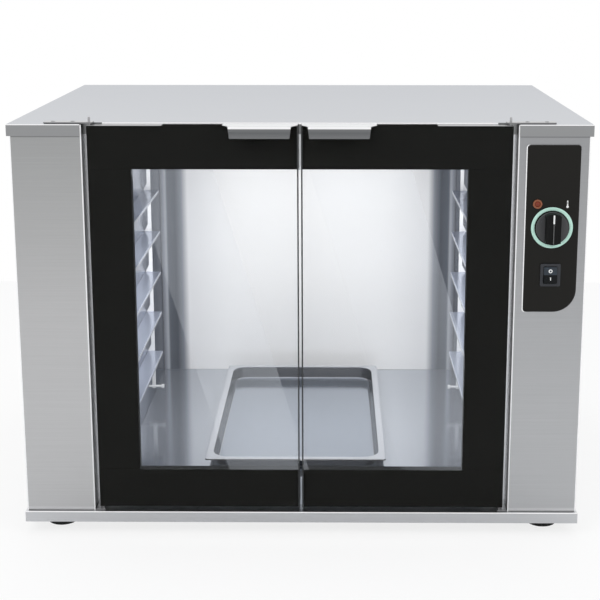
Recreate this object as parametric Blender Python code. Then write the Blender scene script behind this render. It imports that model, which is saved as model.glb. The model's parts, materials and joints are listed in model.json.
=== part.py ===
"""A counter-top proofing cabinet: a stainless box with two glass doors, tray runners, a water pan
over a heated floor, and a control column on the right.

The frame has +X to the right, +Y from the doors to the back and +Z up. The origin is on the
surface that the feet stand on, in the middle of the whole object. All lengths are in metres.
"""

import math

import bmesh
import bpy
from mathutils import Vector

# The whole cabinet
COVER_WIDTH = 0.980
COVER_DEPTH = 0.672
BODY_HEIGHT = 0.6903
BASE_HEIGHT = 0.0197
FOOT_HEIGHT = 0.0225
COVER_OVERHANG = 0.0040
BASE_OVERHANG = 0.0035
SHEET = 0.0012
FIT = 0.0003
BEND_RADIUS = 0.0022
BEND_STEPS = 3
CUT_OVERRUN = 0.0020
ROUND_STEPS = 32
SMALL_STEPS = 16

# The top cover
COVER_FLANGE = 0.0200
COVER_NOTCH_CLEARANCE = 0.0015
COVER_BEND = 0.0016

# The columns beside the doors
COLUMN_WIDTH = 0.1211
COLUMN_SETBACK = 0.0045
BACK_SETBACK = 0.0040

# The feet
FOOT_RADIUS = 0.0280
FOOT_SOLE_RADIUS = 0.0250
FOOT_STEM_RADIUS = 0.0090
FOOT_SIDE_INSET = 0.0550
FOOT_END_INSET = 0.0600
FOOT_SOLE_RISE = 0.0030

# The chamber that holds the trays, and the frame round its mouth
FRAME_WIDTH = 0.0414
FRAME_OVERLAP = 0.0100
CEILING_DROP = 0.0805
CHAMBER_BACK_GAP = 0.0405
FLOOR_RISE = 0.0548

# The tray racks
RUNNER_COUNT = 5
RUNNER_FIRST_RISE = 0.1186
RUNNER_LAST_DROP = 0.1020
RUNNER_WIDTH = 0.0305
RUNNER_SHEET = 0.0012
RUNNER_LIP = 0.0050
RUNNER_BEND = 0.0017
RUNNER_LENGTH = 0.3410
RACK_SETBACK = 0.0180
UPRIGHT_WIDTH = 0.0070
UPRIGHT_STAND_OFF = 0.0070
UPRIGHT_SHEET = 0.0025
UPRIGHT_FLARE = 0.0140
RACK_BOTTOM_RISE = 0.0380
RACK_HEADROOM = 0.0100
STUD_RADIUS = 0.0025
STUD_RISE = 0.0420

# The water pan, which comes out as a standard 530 by 325 mm pan
PAN_WIDTH = 0.3250
PAN_HEIGHT = 0.0250
PAN_RIM = 0.0110
PAN_TAPER = 0.0070
PAN_SHEET = 0.0010
PAN_CORNER = 0.0200
PAN_WALL_CORNER = 0.0360
PAN_BASE_CORNER = 0.0300
PAN_FOOT_RADIUS = 0.0040
PAN_SETBACK = 0.0200
PAN_BACK_GAP = 0.0500
PAN_OFFSET = -0.0110
PAN_CORNER_STEPS = 6

# The doors
DOOR_SETBACK = 0.0050
DOOR_SIDE_GAP = 0.0077
DOOR_MEETING_GAP = 0.0042
DOOR_TOP_DROP = 0.0034
DOOR_BOTTOM_GAP = 0.0059
DOOR_THICKNESS = 0.0185
DOOR_BACK_GAP = 0.0025
GLASS_THICKNESS = 0.0040
GLASS_EDGE = 0.0006
TOP_BORDER = 0.0738
BOTTOM_BORDER = 0.0709
SIDE_BORDER = 0.0734

# The door pivots
PIN_RADIUS = 0.0020
PIN_CLEARANCE = 0.0003
PIN_SIDE_INSET = 0.0047
PIN_FRONT_INSET = 0.0075
PIN_DEPTH = 0.0120
PIN_PROUD = 0.0080
PLATE_THICKNESS = 0.0025
TOP_PLATE_LENGTH = 0.0820
TOP_PLATE_DEPTH = 0.0200
TOP_PLATE_REACH = 0.0065
BOTTOM_PLATE_LENGTH = 0.0170
PIVOT_BOSS_RADIUS = 0.0038
PLATE_CORNER = 0.0030

# The door handles, bent from one strip
HANDLE_SHEET = 0.0015
HANDLE_INSET = 0.0012
HANDLE_ROOT_LENGTH = 0.1260
HANDLE_FRONT_LENGTH = 0.1046
HANDLE_TIP_LENGTH = 0.1000
HANDLE_REACH = 0.0200
HANDLE_DROP = 0.0206
HANDLE_GRIP = 0.0170
HANDLE_BEND = 0.0025
HANDLE_BEND_STEPS = 4

# The magnetic catches behind the doors' top corners
MAGNET_LENGTH = 0.0450
MAGNET_HEIGHT = 0.0140
MAGNET_INSET = 0.0150
MAGNET_RISE = 0.0087

# The control plate on the right column
PLATE_HEIGHT = 0.2878
PLATE_SHEET = 0.0028
PLATE_SIDE_INSET = 0.0155
PLATE_OUTER_INSET = 0.0162
PLATE_TOP_DROP = 0.0341
PLATE_SMALL_CORNER = 0.0050
PLATE_LARGE_CORNER = 0.0390
PLATE_CORNER_STEPS = 8

# The temperature knob and its thermostat
KNOB_RISE = 0.1471
KNOB_RADIUS = 0.0275
KNOB_SKIRT = 0.0060
KNOB_HEIGHT = 0.0200
KNOB_GRIP_WIDTH = 0.0250
KNOB_GRIP_TAPER = 0.0025
KNOB_SOCKET_DEPTH = 0.0120
DIAL_RING_RADIUS = 0.0353
DIAL_RING_WIDTH = 0.0058
DIAL_RING_SHEET = 0.0008
SHAFT_RADIUS = 0.0030
SHAFT_CLEARANCE = 0.0010
SHAFT_DEPTH = 0.0080
THERMOSTAT_WIDTH = 0.0440
THERMOSTAT_HEIGHT = 0.0400
THERMOSTAT_DEPTH = 0.0320
BULB_RADIUS = 0.0030
BULB_LENGTH = 0.0850
BULB_DROP = 0.0500
BULB_BACK_INSET = 0.0700

# The lamp
LAMP_RISE = 0.1877
LAMP_INSET = 0.0192
LAMP_RADIUS = 0.0078
LAMP_BODY_RADIUS = 0.0060
LAMP_FLANGE = 0.0012
LAMP_DOME = 0.0030
LAMP_BODY_LENGTH = 0.0240
LAMP_STEPS = 6

# The main switch
SWITCH_RISE = 0.0651
SWITCH_WIDTH = 0.0342
SWITCH_HEIGHT = 0.0391
SWITCH_FLANGE = 0.0022
SWITCH_BODY_DEPTH = 0.0240
SWITCH_BODY_INSET = 0.0030
ROCKER_WIDTH = 0.0222
ROCKER_HEIGHT = 0.0276
ROCKER_END_RISE = 0.0062
ROCKER_MIDDLE_RISE = 0.0042
ROCKER_BACK = 0.0030
ROCKER_PIVOT_DEPTH = 0.0024
ROCKER_SIDE_GAP = 0.0005
ROCKER_END_GAP = 0.0014
ROCKER_TILT = math.radians(8.0)
RECESS_DEPTH = 0.0085

# What lies under the floor and behind the column
HEATER_RADIUS = 0.0042
HEATER_SIDE_GAP = 0.0935
HEATER_TURN_RADIUS = 0.0350
HEATER_TURNS = 6
HEATER_ARC_STEPS = 6
TERMINAL_LENGTH = 0.0480
TERMINAL_WIDTH = 0.0260
TERMINAL_HEIGHT = 0.0220
TERMINAL_BACK_INSET = 0.0600
GLAND_RADIUS = 0.0130
GLAND_NECK_RADIUS = 0.0085
GLAND_BORE_RADIUS = 0.0050
GLAND_PROUD = 0.0160
GLAND_FLANGE = 0.0060
GLAND_NUT = 0.0070
GLAND_SIDE_INSET = 0.0800
GLAND_RISE = 0.0400
VENT_COUNT = 7
VENT_LENGTH = 0.0700
VENT_HEIGHT = 0.0050
VENT_PITCH = 0.0140
VENT_RISE = 0.1200

# Levels and planes that follow from the sizes above
BASE_TOP = FOOT_HEIGHT + BASE_HEIGHT
COVER_TOP = BASE_TOP + BODY_HEIGHT
BODY_TOP = COVER_TOP - SHEET - FIT
BODY_BOTTOM = BASE_TOP + FIT
COVER_HALF = COVER_WIDTH / 2
BODY_HALF = COVER_HALF - COVER_OVERHANG
BASE_HALF = BODY_HALF + BASE_OVERHANG
OPENING_HALF = BODY_HALF - COLUMN_WIDTH
CHAMBER_HALF = OPENING_HALF - FRAME_WIDTH
FLOOR_TOP = BASE_TOP + FLOOR_RISE
CEILING = COVER_TOP - CEILING_DROP
FIRST_RUNNER = FLOOR_TOP + RUNNER_FIRST_RISE
RUNNER_PITCH = (CEILING - RUNNER_LAST_DROP - FIRST_RUNNER) / (RUNNER_COUNT - 1)

# The front edge of the cover and base. The knob is the front of the whole object and the
# cable gland its back, and the origin is half way between them.
KNOB_FRONT_SETBACK = COLUMN_SETBACK - PLATE_SHEET - DIAL_RING_SHEET - 3 * FIT - KNOB_HEIGHT
BACK_PANEL_SETBACK = COVER_DEPTH - BACK_SETBACK
GLAND_BACK_SETBACK = BACK_PANEL_SETBACK + FIT + GLAND_PROUD
FRONT = -(KNOB_FRONT_SETBACK + GLAND_BACK_SETBACK) / 2

BACK = FRONT + COVER_DEPTH
COLUMN_FRONT = FRONT + COLUMN_SETBACK
BODY_BACK = FRONT + BACK_PANEL_SETBACK
DOOR_FRONT = FRONT + DOOR_SETBACK
DOOR_BACK = DOOR_FRONT + DOOR_THICKNESS
NOTCH_FRONT = DOOR_BACK + DOOR_BACK_GAP
FRAME_FACE = NOTCH_FRONT + SHEET + FIT
CHAMBER_BACK = BODY_BACK - CHAMBER_BACK_GAP
PAN_FRONT = FRAME_FACE + PAN_SETBACK
PAN_LENGTH = CHAMBER_BACK - PAN_BACK_GAP - PAN_FRONT

DOOR_TOP = COVER_TOP - DOOR_TOP_DROP
DOOR_BOTTOM = BASE_TOP + DOOR_BOTTOM_GAP
DOOR_OUTER = OPENING_HALF - DOOR_SIDE_GAP
DOOR_INNER = DOOR_MEETING_GAP / 2
GLASS_BACK = DOOR_FRONT + GLASS_THICKNESS
RAIL_FRONT = GLASS_BACK + FIT
PIN_X = DOOR_OUTER - PIN_SIDE_INSET
PIN_Y = DOOR_FRONT + PIN_FRONT_INSET

PLATE_BACK = COLUMN_FRONT - FIT
PLATE_FRONT = PLATE_BACK - PLATE_SHEET
PLATE_LEFT = OPENING_HALF + PLATE_SIDE_INSET
PLATE_WIDTH = BODY_HALF - PLATE_OUTER_INSET - PLATE_LEFT
PLATE_MIDDLE = PLATE_LEFT + PLATE_WIDTH / 2
PLATE_TOP = COVER_TOP - PLATE_TOP_DROP
PLATE_BOTTOM = PLATE_TOP - PLATE_HEIGHT
KNOB_Z = PLATE_BOTTOM + KNOB_RISE
LAMP_X = PLATE_LEFT + LAMP_INSET
LAMP_Z = PLATE_BOTTOM + LAMP_RISE
SWITCH_Z = PLATE_BOTTOM + SWITCH_RISE
COLUMN_INSIDE = COLUMN_FRONT + SHEET

for old in list(bpy.data.objects):
    bpy.data.objects.remove(old, do_unlink=True)


def finish(name, colour, roughness, metallic=0.0, alpha=1.0):
    """A plain material with the colour and gloss of one kind of surface."""
    material = bpy.data.materials.new(name)
    material.use_nodes = True
    shader = material.node_tree.nodes["Principled BSDF"]
    shader.inputs["Base Color"].default_value = (*colour, 1.0)
    shader.inputs["Roughness"].default_value = roughness
    shader.inputs["Metallic"].default_value = metallic
    shader.inputs["Alpha"].default_value = alpha
    material.diffuse_color = (*colour, alpha)
    return material


BRUSHED = finish("brushed_steel", (0.42, 0.42, 0.43), 0.35, 1.0)
LINER = finish("liner_steel", (0.58, 0.60, 0.64), 0.25, 1.0)
BLACK_ENAMEL = finish("black_enamel", (0.012, 0.012, 0.011), 0.15)
BLACK_PLASTIC = finish("black_plastic", (0.014, 0.014, 0.013), 0.45)
RUBBER = finish("rubber", (0.020, 0.020, 0.020), 0.80)
CLEAR_GLASS = finish("clear_glass", (0.90, 0.94, 0.94), 0.03, 0.0, 0.20)
MINT = finish("mint_ring", (0.50, 0.86, 0.70), 0.40)
AMBER = finish("amber_lens", (0.50, 0.10, 0.03), 0.20)
ZINC = finish("zinc", (0.30, 0.30, 0.31), 0.45, 1.0)
CERAMIC = finish("ceramic", (0.75, 0.73, 0.68), 0.60)


def add_object(name, mesh, material, place=(0.0, 0.0, 0.0), parent=None):
    """Puts a mesh in the scene at a place in world axes, under an empty when one is given."""
    obj = bpy.data.objects.new(name, mesh)
    bpy.context.scene.collection.objects.link(obj)
    if material:
        mesh.materials.append(material)
    obj.location = Vector(place)
    if parent:
        obj.parent = parent
        obj.location = Vector(place) - parent.location
    return obj


def mesh_from(name, form):
    """Turns a finished bmesh into mesh data with its faces pointing out."""
    bmesh.ops.recalc_face_normals(form, faces=form.faces)
    mesh = bpy.data.meshes.new(name)
    form.to_mesh(mesh)
    form.free()
    return mesh


def pivot_empty(name, place):
    """An empty on a joint's axis, for the pieces that turn about it."""
    empty = bpy.data.objects.new(name, None)
    empty.location = Vector(place)
    bpy.context.scene.collection.objects.link(empty)
    return empty


def block(name, low, high, material, parent=None, edge=0.0):
    """A rectangular piece between two corners, with its edges eased when edge is given."""
    low, high = Vector(low), Vector(high)
    form = bmesh.new()
    bmesh.ops.create_cube(form, size=1.0)
    bmesh.ops.scale(form, vec=high - low, verts=form.verts)
    obj = add_object(name, mesh_from(name, form), material, (low + high) / 2, parent)
    if edge:
        add_bevel(obj, edge, 1)
    return obj


def add_bevel(obj, width, segments):
    """Rounds every sharp edge of a piece."""
    bevel = obj.modifiers.new("rounded_edges", "BEVEL")
    bevel.width = width
    bevel.segments = segments
    bevel.limit_method = "ANGLE"


def hide_helper(obj):
    """Marks a cutter, so that it isn't taken for a piece of the cabinet."""
    obj.hide_render = True
    obj.display_type = "WIRE"


def cut(obj, *cutters):
    """Takes each cutter out of a piece."""
    for cutter in cutters:
        hide_helper(cutter)
        change = obj.modifiers.new(cutter.name, "BOOLEAN")
        change.operation = "DIFFERENCE"
        change.solver = "EXACT"
        change.object = cutter


def weld(obj, *additions):
    """Joins each added shape to a piece as one body."""
    for addition in additions:
        hide_helper(addition)
        change = obj.modifiers.new(addition.name, "BOOLEAN")
        change.operation = "UNION"
        change.solver = "EXACT"
        change.object = addition


def arc(centre, radius, start, end, steps):
    """Points along an arc in a plane, both ends included. Angles are in degrees."""
    points = []
    for step in range(steps + 1):
        angle = math.radians(start + (end - start) * step / steps)
        points.append((centre[0] + radius * math.cos(angle), centre[1] + radius * math.sin(angle)))
    return points


def rounded_rectangle(half_width, half_height, radii, steps):
    """A closed outline about the origin. radii are for the corners at +-, ++, -+ and --."""
    signs = ((1, -1), (1, 1), (-1, 1), (-1, -1))
    outline = []
    for turn, (sign, radius) in enumerate(zip(signs, radii)):
        centre = (sign[0] * (half_width - radius), sign[1] * (half_height - radius))
        outline += arc(centre, radius, 90 * turn - 90, 90 * turn, steps)
    return outline


def bent_path(points, radius, steps):
    """The same path with each of its inner corners rounded, as a press brake bends sheet."""
    path = [Vector(points[0])]
    for before, corner, after in zip(points, points[1:], points[2:]):
        before, corner, after = Vector(before), Vector(corner), Vector(after)
        into = (corner - before).normalized()
        out = (after - corner).normalized()
        half_turn = into.angle(out) / 2
        run = radius * math.tan(half_turn)
        centre = corner - into * run
        side = (out - into * out.dot(into)).normalized()
        centre = centre + side * radius
        for step in range(steps + 1):
            angle = 2 * half_turn * step / steps
            path.append(centre - side * radius * math.cos(angle) + into * radius * math.sin(angle))
    path.append(Vector(points[-1]))
    return path


def prism(name, outline, plane, start, end, material):
    """Extrudes a closed outline. plane names its two axes, and the third one runs start to end."""
    axes = {"x": 0, "y": 1, "z": 2}
    first, second = axes[plane[0]], axes[plane[1]]
    third = 3 - first - second
    form = bmesh.new()
    rings = []
    for level in (start, end):
        ring = []
        for a, b in outline:
            spot = [0.0, 0.0, 0.0]
            spot[first], spot[second], spot[third] = a, b, level
            ring.append(form.verts.new(spot))
        rings.append(ring)
    count = len(outline)
    form.faces.new(rings[0])
    form.faces.new(rings[1])
    for i in range(count):
        j = (i + 1) % count
        form.faces.new((rings[0][i], rings[0][j], rings[1][j], rings[1][i]))
    return add_object(name, mesh_from(name, form), material)


def folded_sheet(name, path, plane, start, end, material, thickness=SHEET, bend=BEND_RADIUS):
    """Sheet metal folded along a path in a plane and as long as start to end.

    The path is the sheet's outer face, and the thickness goes to the path's left side.
    """
    outer = bent_path(path, bend, BEND_STEPS)
    inner_corners = []
    for i, point in enumerate(path):
        point = Vector(point)
        sides = []
        if i > 0:
            run = (point - Vector(path[i - 1])).normalized()
            sides.append(Vector((-run.y, run.x)))
        if i < len(path) - 1:
            run = (Vector(path[i + 1]) - point).normalized()
            sides.append(Vector((-run.y, run.x)))
        offset = sides[0] if len(sides) == 1 else sides[0] + sides[1]
        inner_corners.append(point + offset * thickness)
    inner = bent_path(inner_corners, bend - thickness, BEND_STEPS)
    outline = [tuple(p) for p in outer] + [tuple(p) for p in reversed(inner)]
    return prism(name, outline, plane, start, end, material)


def turned(name, profile, axis, place, material, steps=ROUND_STEPS, parent=None):
    """A round piece. profile is (radius, distance along the axis), from one pole to the other."""
    form = bmesh.new()
    rings = []
    for radius, along in profile:
        if radius == 0.0:
            rings.append([form.verts.new((0.0, 0.0, along))])
            continue
        ring = []
        for step in range(steps):
            angle = 2 * math.pi * step / steps
            ring.append(form.verts.new((radius * math.cos(angle), radius * math.sin(angle), along)))
        rings.append(ring)
    for low, high in zip(rings, rings[1:]):
        for i in range(steps):
            j = (i + 1) % steps
            if len(low) == 1:
                form.faces.new((low[0], high[i], high[j]))
            elif len(high) == 1:
                form.faces.new((low[i], low[j], high[0]))
            else:
                form.faces.new((low[i], low[j], high[j], high[i]))
    if rings[0][0] is not rings[-1][0] and len(rings[0]) > 1:
        for i in range(steps):
            j = (i + 1) % steps
            form.faces.new((rings[-1][i], rings[-1][j], rings[0][j], rings[0][i]))
    turn = Vector((0.0, 0.0, 1.0)).rotation_difference(Vector(axis)).to_matrix().to_4x4()
    bmesh.ops.transform(form, matrix=turn, verts=form.verts)
    obj = add_object(name, mesh_from(name, form), material, place, parent)
    obj.data.shade_smooth()
    obj.data.set_sharp_from_angle(angle=math.radians(40))
    return obj


def rod(name, radius, low, high, axis, material, parent=None, steps=ROUND_STEPS):
    """A plain round bar from one point along an axis to another."""
    length = (Vector(high) - Vector(low)).length
    profile = [(0.0, 0.0), (radius, 0.0), (radius, length), (0.0, length)]
    return turned(name, profile, axis, low, material, steps, parent)


def make_base():
    """The base tray, a sheet folded down on all four sides, and the feet under it."""
    tray = flanged_top("base_tray", base_outline(), BASE_TOP, BASE_HEIGHT, (0, 1, 2, 3))
    tray.data.materials.append(BRUSHED)
    foot_y = {"front": FRONT + FOOT_END_INSET, "back": BACK - FOOT_END_INSET}
    foot_x = {"left": -(BASE_HALF - FOOT_SIDE_INSET), "right": BASE_HALF - FOOT_SIDE_INSET}
    profile = [
        (0.0, 0.0),
        (FOOT_SOLE_RADIUS, 0.0),
        (FOOT_RADIUS, FOOT_SOLE_RISE),
        (FOOT_RADIUS, FOOT_HEIGHT - FIT),
        (FOOT_STEM_RADIUS, FOOT_HEIGHT - FIT),
        (FOOT_STEM_RADIUS, BASE_TOP - SHEET - FIT),
        (0.0, BASE_TOP - SHEET - FIT),
    ]
    for end, y in foot_y.items():
        for side, x in foot_x.items():
            turned(f"foot_{end}_{side}", profile, (0, 0, 1), (x, y, 0.0), RUBBER)


def base_outline():
    """The base tray seen from above."""
    return [(-BASE_HALF, FRONT), (BASE_HALF, FRONT), (BASE_HALF, BACK), (-BASE_HALF, BACK)]


def cover_outline():
    """The top cover seen from above. The doors' tops stand in its notch, which widens to the
    front, where an open door's glass comes closest.
    """
    mouth = OPENING_HALF + COVER_NOTCH_CLEARANCE
    return [
        (-COVER_HALF, FRONT),
        (-mouth, FRONT),
        (-OPENING_HALF, NOTCH_FRONT),
        (OPENING_HALF, NOTCH_FRONT),
        (mouth, FRONT),
        (COVER_HALF, FRONT),
        (COVER_HALF, BACK),
        (-COVER_HALF, BACK),
    ]


def flanged_top(name, outline, top, depth, folded_sides):
    """A flat sheet whose named sides are folded down. Side i runs from outline point i."""
    form = bmesh.new()
    upper = [form.verts.new((x, y, top)) for x, y in outline]
    form.faces.new(upper)
    lower = {}
    count = len(outline)
    for side in folded_sides:
        ends = (side, (side + 1) % count)
        for end in ends:
            if end not in lower:
                x, y = outline[end]
                lower[end] = form.verts.new((x, y, top - depth))
        form.faces.new((upper[ends[1]], upper[ends[0]], lower[ends[0]], lower[ends[1]]))
    for face in form.faces:
        face.normal_update()
    mesh = bpy.data.meshes.new(name)
    form.to_mesh(mesh)
    form.free()
    obj = add_object(name, mesh, None)
    add_bevel(obj, COVER_BEND, BEND_STEPS)
    wall = obj.modifiers.new("sheet", "SOLIDIFY")
    wall.thickness = SHEET
    wall.offset = -1.0
    wall.use_even_offset = True
    return obj


def make_cover():
    """The top cover. It is folded down everywhere but at the two sides of its notch."""
    cover = flanged_top("top_cover", cover_outline(), COVER_TOP, COVER_FLANGE, (0, 2, 4, 5, 6, 7))
    cover.data.materials.append(BRUSHED)


def make_columns():
    """The side panels. Each is one sheet: the side, the column's front and its return."""
    return_end = FRAME_FACE - FIT
    side_end = BODY_BACK - SHEET - FIT
    for side, sign in (("left", -1), ("right", 1)):
        path = [
            (sign * OPENING_HALF, return_end),
            (sign * OPENING_HALF, COLUMN_FRONT),
            (sign * BODY_HALF, COLUMN_FRONT),
            (sign * BODY_HALF, side_end),
        ]
        if sign < 0:
            path.reverse()
        shell = folded_sheet(f"{side}_column", path, "xy", BODY_BOTTOM, BODY_TOP, BRUSHED)
        if side == "right":
            cut(shell, *control_holes("column", COLUMN_FRONT - CUT_OVERRUN, COLUMN_INSIDE + CUT_OVERRUN))


def control_holes(owner, low, high):
    """Cutters for the shaft, the lamp and the switch, in the column or in the control plate."""
    shaft = rod(
        f"{owner}_shaft_hole", SHAFT_RADIUS + SHAFT_CLEARANCE,
        (PLATE_MIDDLE, low, KNOB_Z), (PLATE_MIDDLE, high, KNOB_Z), (0, 1, 0), None,
    )
    lamp = rod(
        f"{owner}_lamp_hole", LAMP_BODY_RADIUS + FIT,
        (LAMP_X, low, LAMP_Z), (LAMP_X, high, LAMP_Z), (0, 1, 0), None,
    )
    half_width = SWITCH_WIDTH / 2 - SWITCH_BODY_INSET + FIT
    half_height = SWITCH_HEIGHT / 2 - SWITCH_BODY_INSET + FIT
    switch = block(
        f"{owner}_switch_hole",
        (PLATE_MIDDLE - half_width, low, SWITCH_Z - half_height),
        (PLATE_MIDDLE + half_width, high, SWITCH_Z + half_height), None,
    )
    return shaft, lamp, switch


def make_back():
    """The back panel with its vents, and the cable gland. The supply cable isn't part of this."""
    panel = block(
        "back_panel", (-BODY_HALF, BODY_BACK - SHEET, BODY_BOTTOM), (BODY_HALF, BODY_BACK, BODY_TOP), BRUSHED
    )
    gland_x = BODY_HALF - GLAND_SIDE_INSET
    gland_z = BASE_TOP + GLAND_RISE
    low, high = BODY_BACK - SHEET - CUT_OVERRUN, BODY_BACK + CUT_OVERRUN
    hole = rod(
        "gland_hole", GLAND_NECK_RADIUS + FIT,
        (gland_x, low, gland_z), (gland_x, high, gland_z), (0, 1, 0), None,
    )
    vents = []
    for i in range(VENT_COUNT):
        z = BASE_TOP + VENT_RISE + i * VENT_PITCH
        vents.append(block(
            f"vent_{i}", (gland_x - VENT_LENGTH / 2, low, z), (gland_x + VENT_LENGTH / 2, high, z + VENT_HEIGHT),
            None,
        ))
    cut(panel, hole, *vents)
    inner = BODY_BACK - SHEET - FIT
    outer = BODY_BACK + FIT
    profile = [
        (GLAND_BORE_RADIUS, inner - GLAND_NUT),
        (GLAND_RADIUS, inner - GLAND_NUT),
        (GLAND_RADIUS, inner),
        (GLAND_NECK_RADIUS, inner),
        (GLAND_NECK_RADIUS, outer),
        (GLAND_RADIUS, outer),
        (GLAND_RADIUS, outer + GLAND_FLANGE),
        (GLAND_NECK_RADIUS, outer + GLAND_FLANGE + GLAND_NECK_RADIUS / 2),
        (GLAND_NECK_RADIUS, outer + GLAND_PROUD),
        (GLAND_BORE_RADIUS, outer + GLAND_PROUD),
    ]
    turned("cable_gland", profile, (0, 1, 0), (gland_x, 0.0, gland_z), BLACK_PLASTIC)


def make_chamber():
    """The chamber's five walls. Their front flanges are the frame that the doors close on."""
    for side, sign in (("left", -1), ("right", 1)):
        path = [
            (sign * (OPENING_HALF + FRAME_OVERLAP), FRAME_FACE),
            (sign * CHAMBER_HALF, FRAME_FACE),
            (sign * CHAMBER_HALF, CHAMBER_BACK),
        ]
        if sign > 0:
            path.reverse()
        folded_sheet(f"chamber_{side}_wall", path, "xy", BODY_BOTTOM, BODY_TOP, LINER)
    half = CHAMBER_HALF - FIT
    floor = [
        (FRAME_FACE, BODY_BOTTOM),
        (FRAME_FACE, FLOOR_TOP),
        (CHAMBER_BACK, FLOOR_TOP),
    ]
    floor.reverse()
    folded_sheet("chamber_floor", floor, "yz", -half, half, LINER)
    ceiling = [
        (FRAME_FACE, BODY_TOP),
        (FRAME_FACE, CEILING),
        (CHAMBER_BACK, CEILING),
    ]
    folded_sheet("chamber_ceiling", ceiling, "yz", -half, half, LINER)
    block(
        "chamber_back_wall",
        (-half, CHAMBER_BACK - SHEET - FIT, FLOOR_TOP + FIT), (half, CHAMBER_BACK - FIT, CEILING - FIT), LINER
    )


def runner_tops():
    """The level of each runner's upper face."""
    return [FIRST_RUNNER + i * RUNNER_PITCH for i in range(RUNNER_COUNT)]


def make_racks():
    """The tray racks: two uprights on each side wall, and the runners between them."""
    wall = CHAMBER_HALF - FIT
    inner = wall - RUNNER_WIDTH
    rack_front = FRAME_FACE + RACK_SETBACK
    rack_bottom = FLOOR_TOP + RACK_BOTTOM_RISE
    rack_top = CEILING - RACK_HEADROOM
    post_outer = wall - UPRIGHT_STAND_OFF
    post_inner = post_outer - UPRIGHT_WIDTH
    for side, sign in (("left", -1), ("right", 1)):
        edge = [(sign * post_outer, rack_bottom)]
        for top in runner_tops():
            edge.append((sign * post_outer, top))
            edge.append((sign * wall, top))
            edge.append((sign * post_outer, top + UPRIGHT_FLARE))
        edge.append((sign * post_outer, rack_top))
        outline = edge + [(sign * post_inner, rack_top), (sign * post_inner, rack_bottom)]
        rear = rack_front + UPRIGHT_SHEET + FIT + RUNNER_LENGTH + FIT
        for place, y in (("front", rack_front), ("rear", rear)):
            upright = prism(f"{side}_rack_{place}_upright", outline, "xz", y, y + UPRIGHT_SHEET, LINER)
            ends = sorted((sign * wall, sign * inner))
            stud_y, stud_z = y + UPRIGHT_SHEET / 2, FLOOR_TOP + STUD_RISE
            weld(upright, rod(
                f"{side}_{place}_stud", STUD_RADIUS, (ends[0], stud_y, stud_z), (ends[1], stud_y, stud_z),
                (1, 0, 0), None, steps=SMALL_STEPS,
            ))
        start = rack_front + UPRIGHT_SHEET + FIT
        for number, top in enumerate(runner_tops(), start=1):
            path = [
                (sign * wall, top),
                (sign * inner, top),
                (sign * inner, top - RUNNER_LIP),
            ]
            if sign < 0:
                path.reverse()
            folded_sheet(
                f"{side}_runner_{number}", path, "xz", start, start + RUNNER_LENGTH, LINER,
                RUNNER_SHEET, RUNNER_BEND,
            )


def make_pan():
    """The water pan: a rolled rim, sloping walls and a flat floor, pressed from thin sheet."""
    half_x, half_y = PAN_WIDTH / 2, PAN_LENGTH / 2
    base = FLOOR_TOP + FIT
    rim = base + PAN_HEIGHT
    wall_inset = PAN_RIM
    floor_inset = PAN_RIM + PAN_TAPER
    rim_under = rim - PAN_SHEET
    rings = [
        (0.0, rim - 3 * PAN_SHEET, PAN_CORNER),
        (0.0, rim_under, PAN_CORNER),
        (PAN_SHEET, rim, PAN_CORNER),
        (wall_inset, rim, PAN_WALL_CORNER),
        (wall_inset + PAN_SHEET, rim - PAN_SHEET, PAN_WALL_CORNER),
        (floor_inset, base + PAN_FOOT_RADIUS, PAN_BASE_CORNER),
        (floor_inset + PAN_FOOT_RADIUS, base + PAN_SHEET, PAN_BASE_CORNER - PAN_FOOT_RADIUS),
    ]
    under = [
        (PAN_SHEET, rim - 3 * PAN_SHEET, PAN_CORNER - PAN_SHEET),
        (PAN_SHEET * 2, rim_under, PAN_CORNER - PAN_SHEET),
        (wall_inset - PAN_SHEET, rim_under, PAN_WALL_CORNER),
        (floor_inset - PAN_SHEET, base + PAN_FOOT_RADIUS, PAN_BASE_CORNER),
        (floor_inset + PAN_FOOT_RADIUS - PAN_SHEET, base, PAN_BASE_CORNER - PAN_FOOT_RADIUS),
    ]
    axis = pivot_empty("water_pan_lift", (PAN_OFFSET, PAN_FRONT + half_y, base))
    form = bmesh.new()
    loops = []
    for inset, z, corner in list(reversed(under)) + rings:
        outline = rounded_rectangle(half_x - inset, half_y - inset, (corner,) * 4, PAN_CORNER_STEPS)
        loops.append([form.verts.new((x, y, z - base)) for x, y in outline])
    count = len(loops[0])
    for low, high in zip(loops, loops[1:]):
        for i in range(count):
            j = (i + 1) % count
            form.faces.new((low[i], low[j], high[j], high[i]))
    form.faces.new(loops[0])
    form.faces.new(loops[-1])
    pan = add_object("water_pan", mesh_from("water_pan", form), LINER, axis.location, axis)
    pan.data.shade_smooth()
    pan.data.set_sharp_from_angle(angle=math.radians(35))


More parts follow.
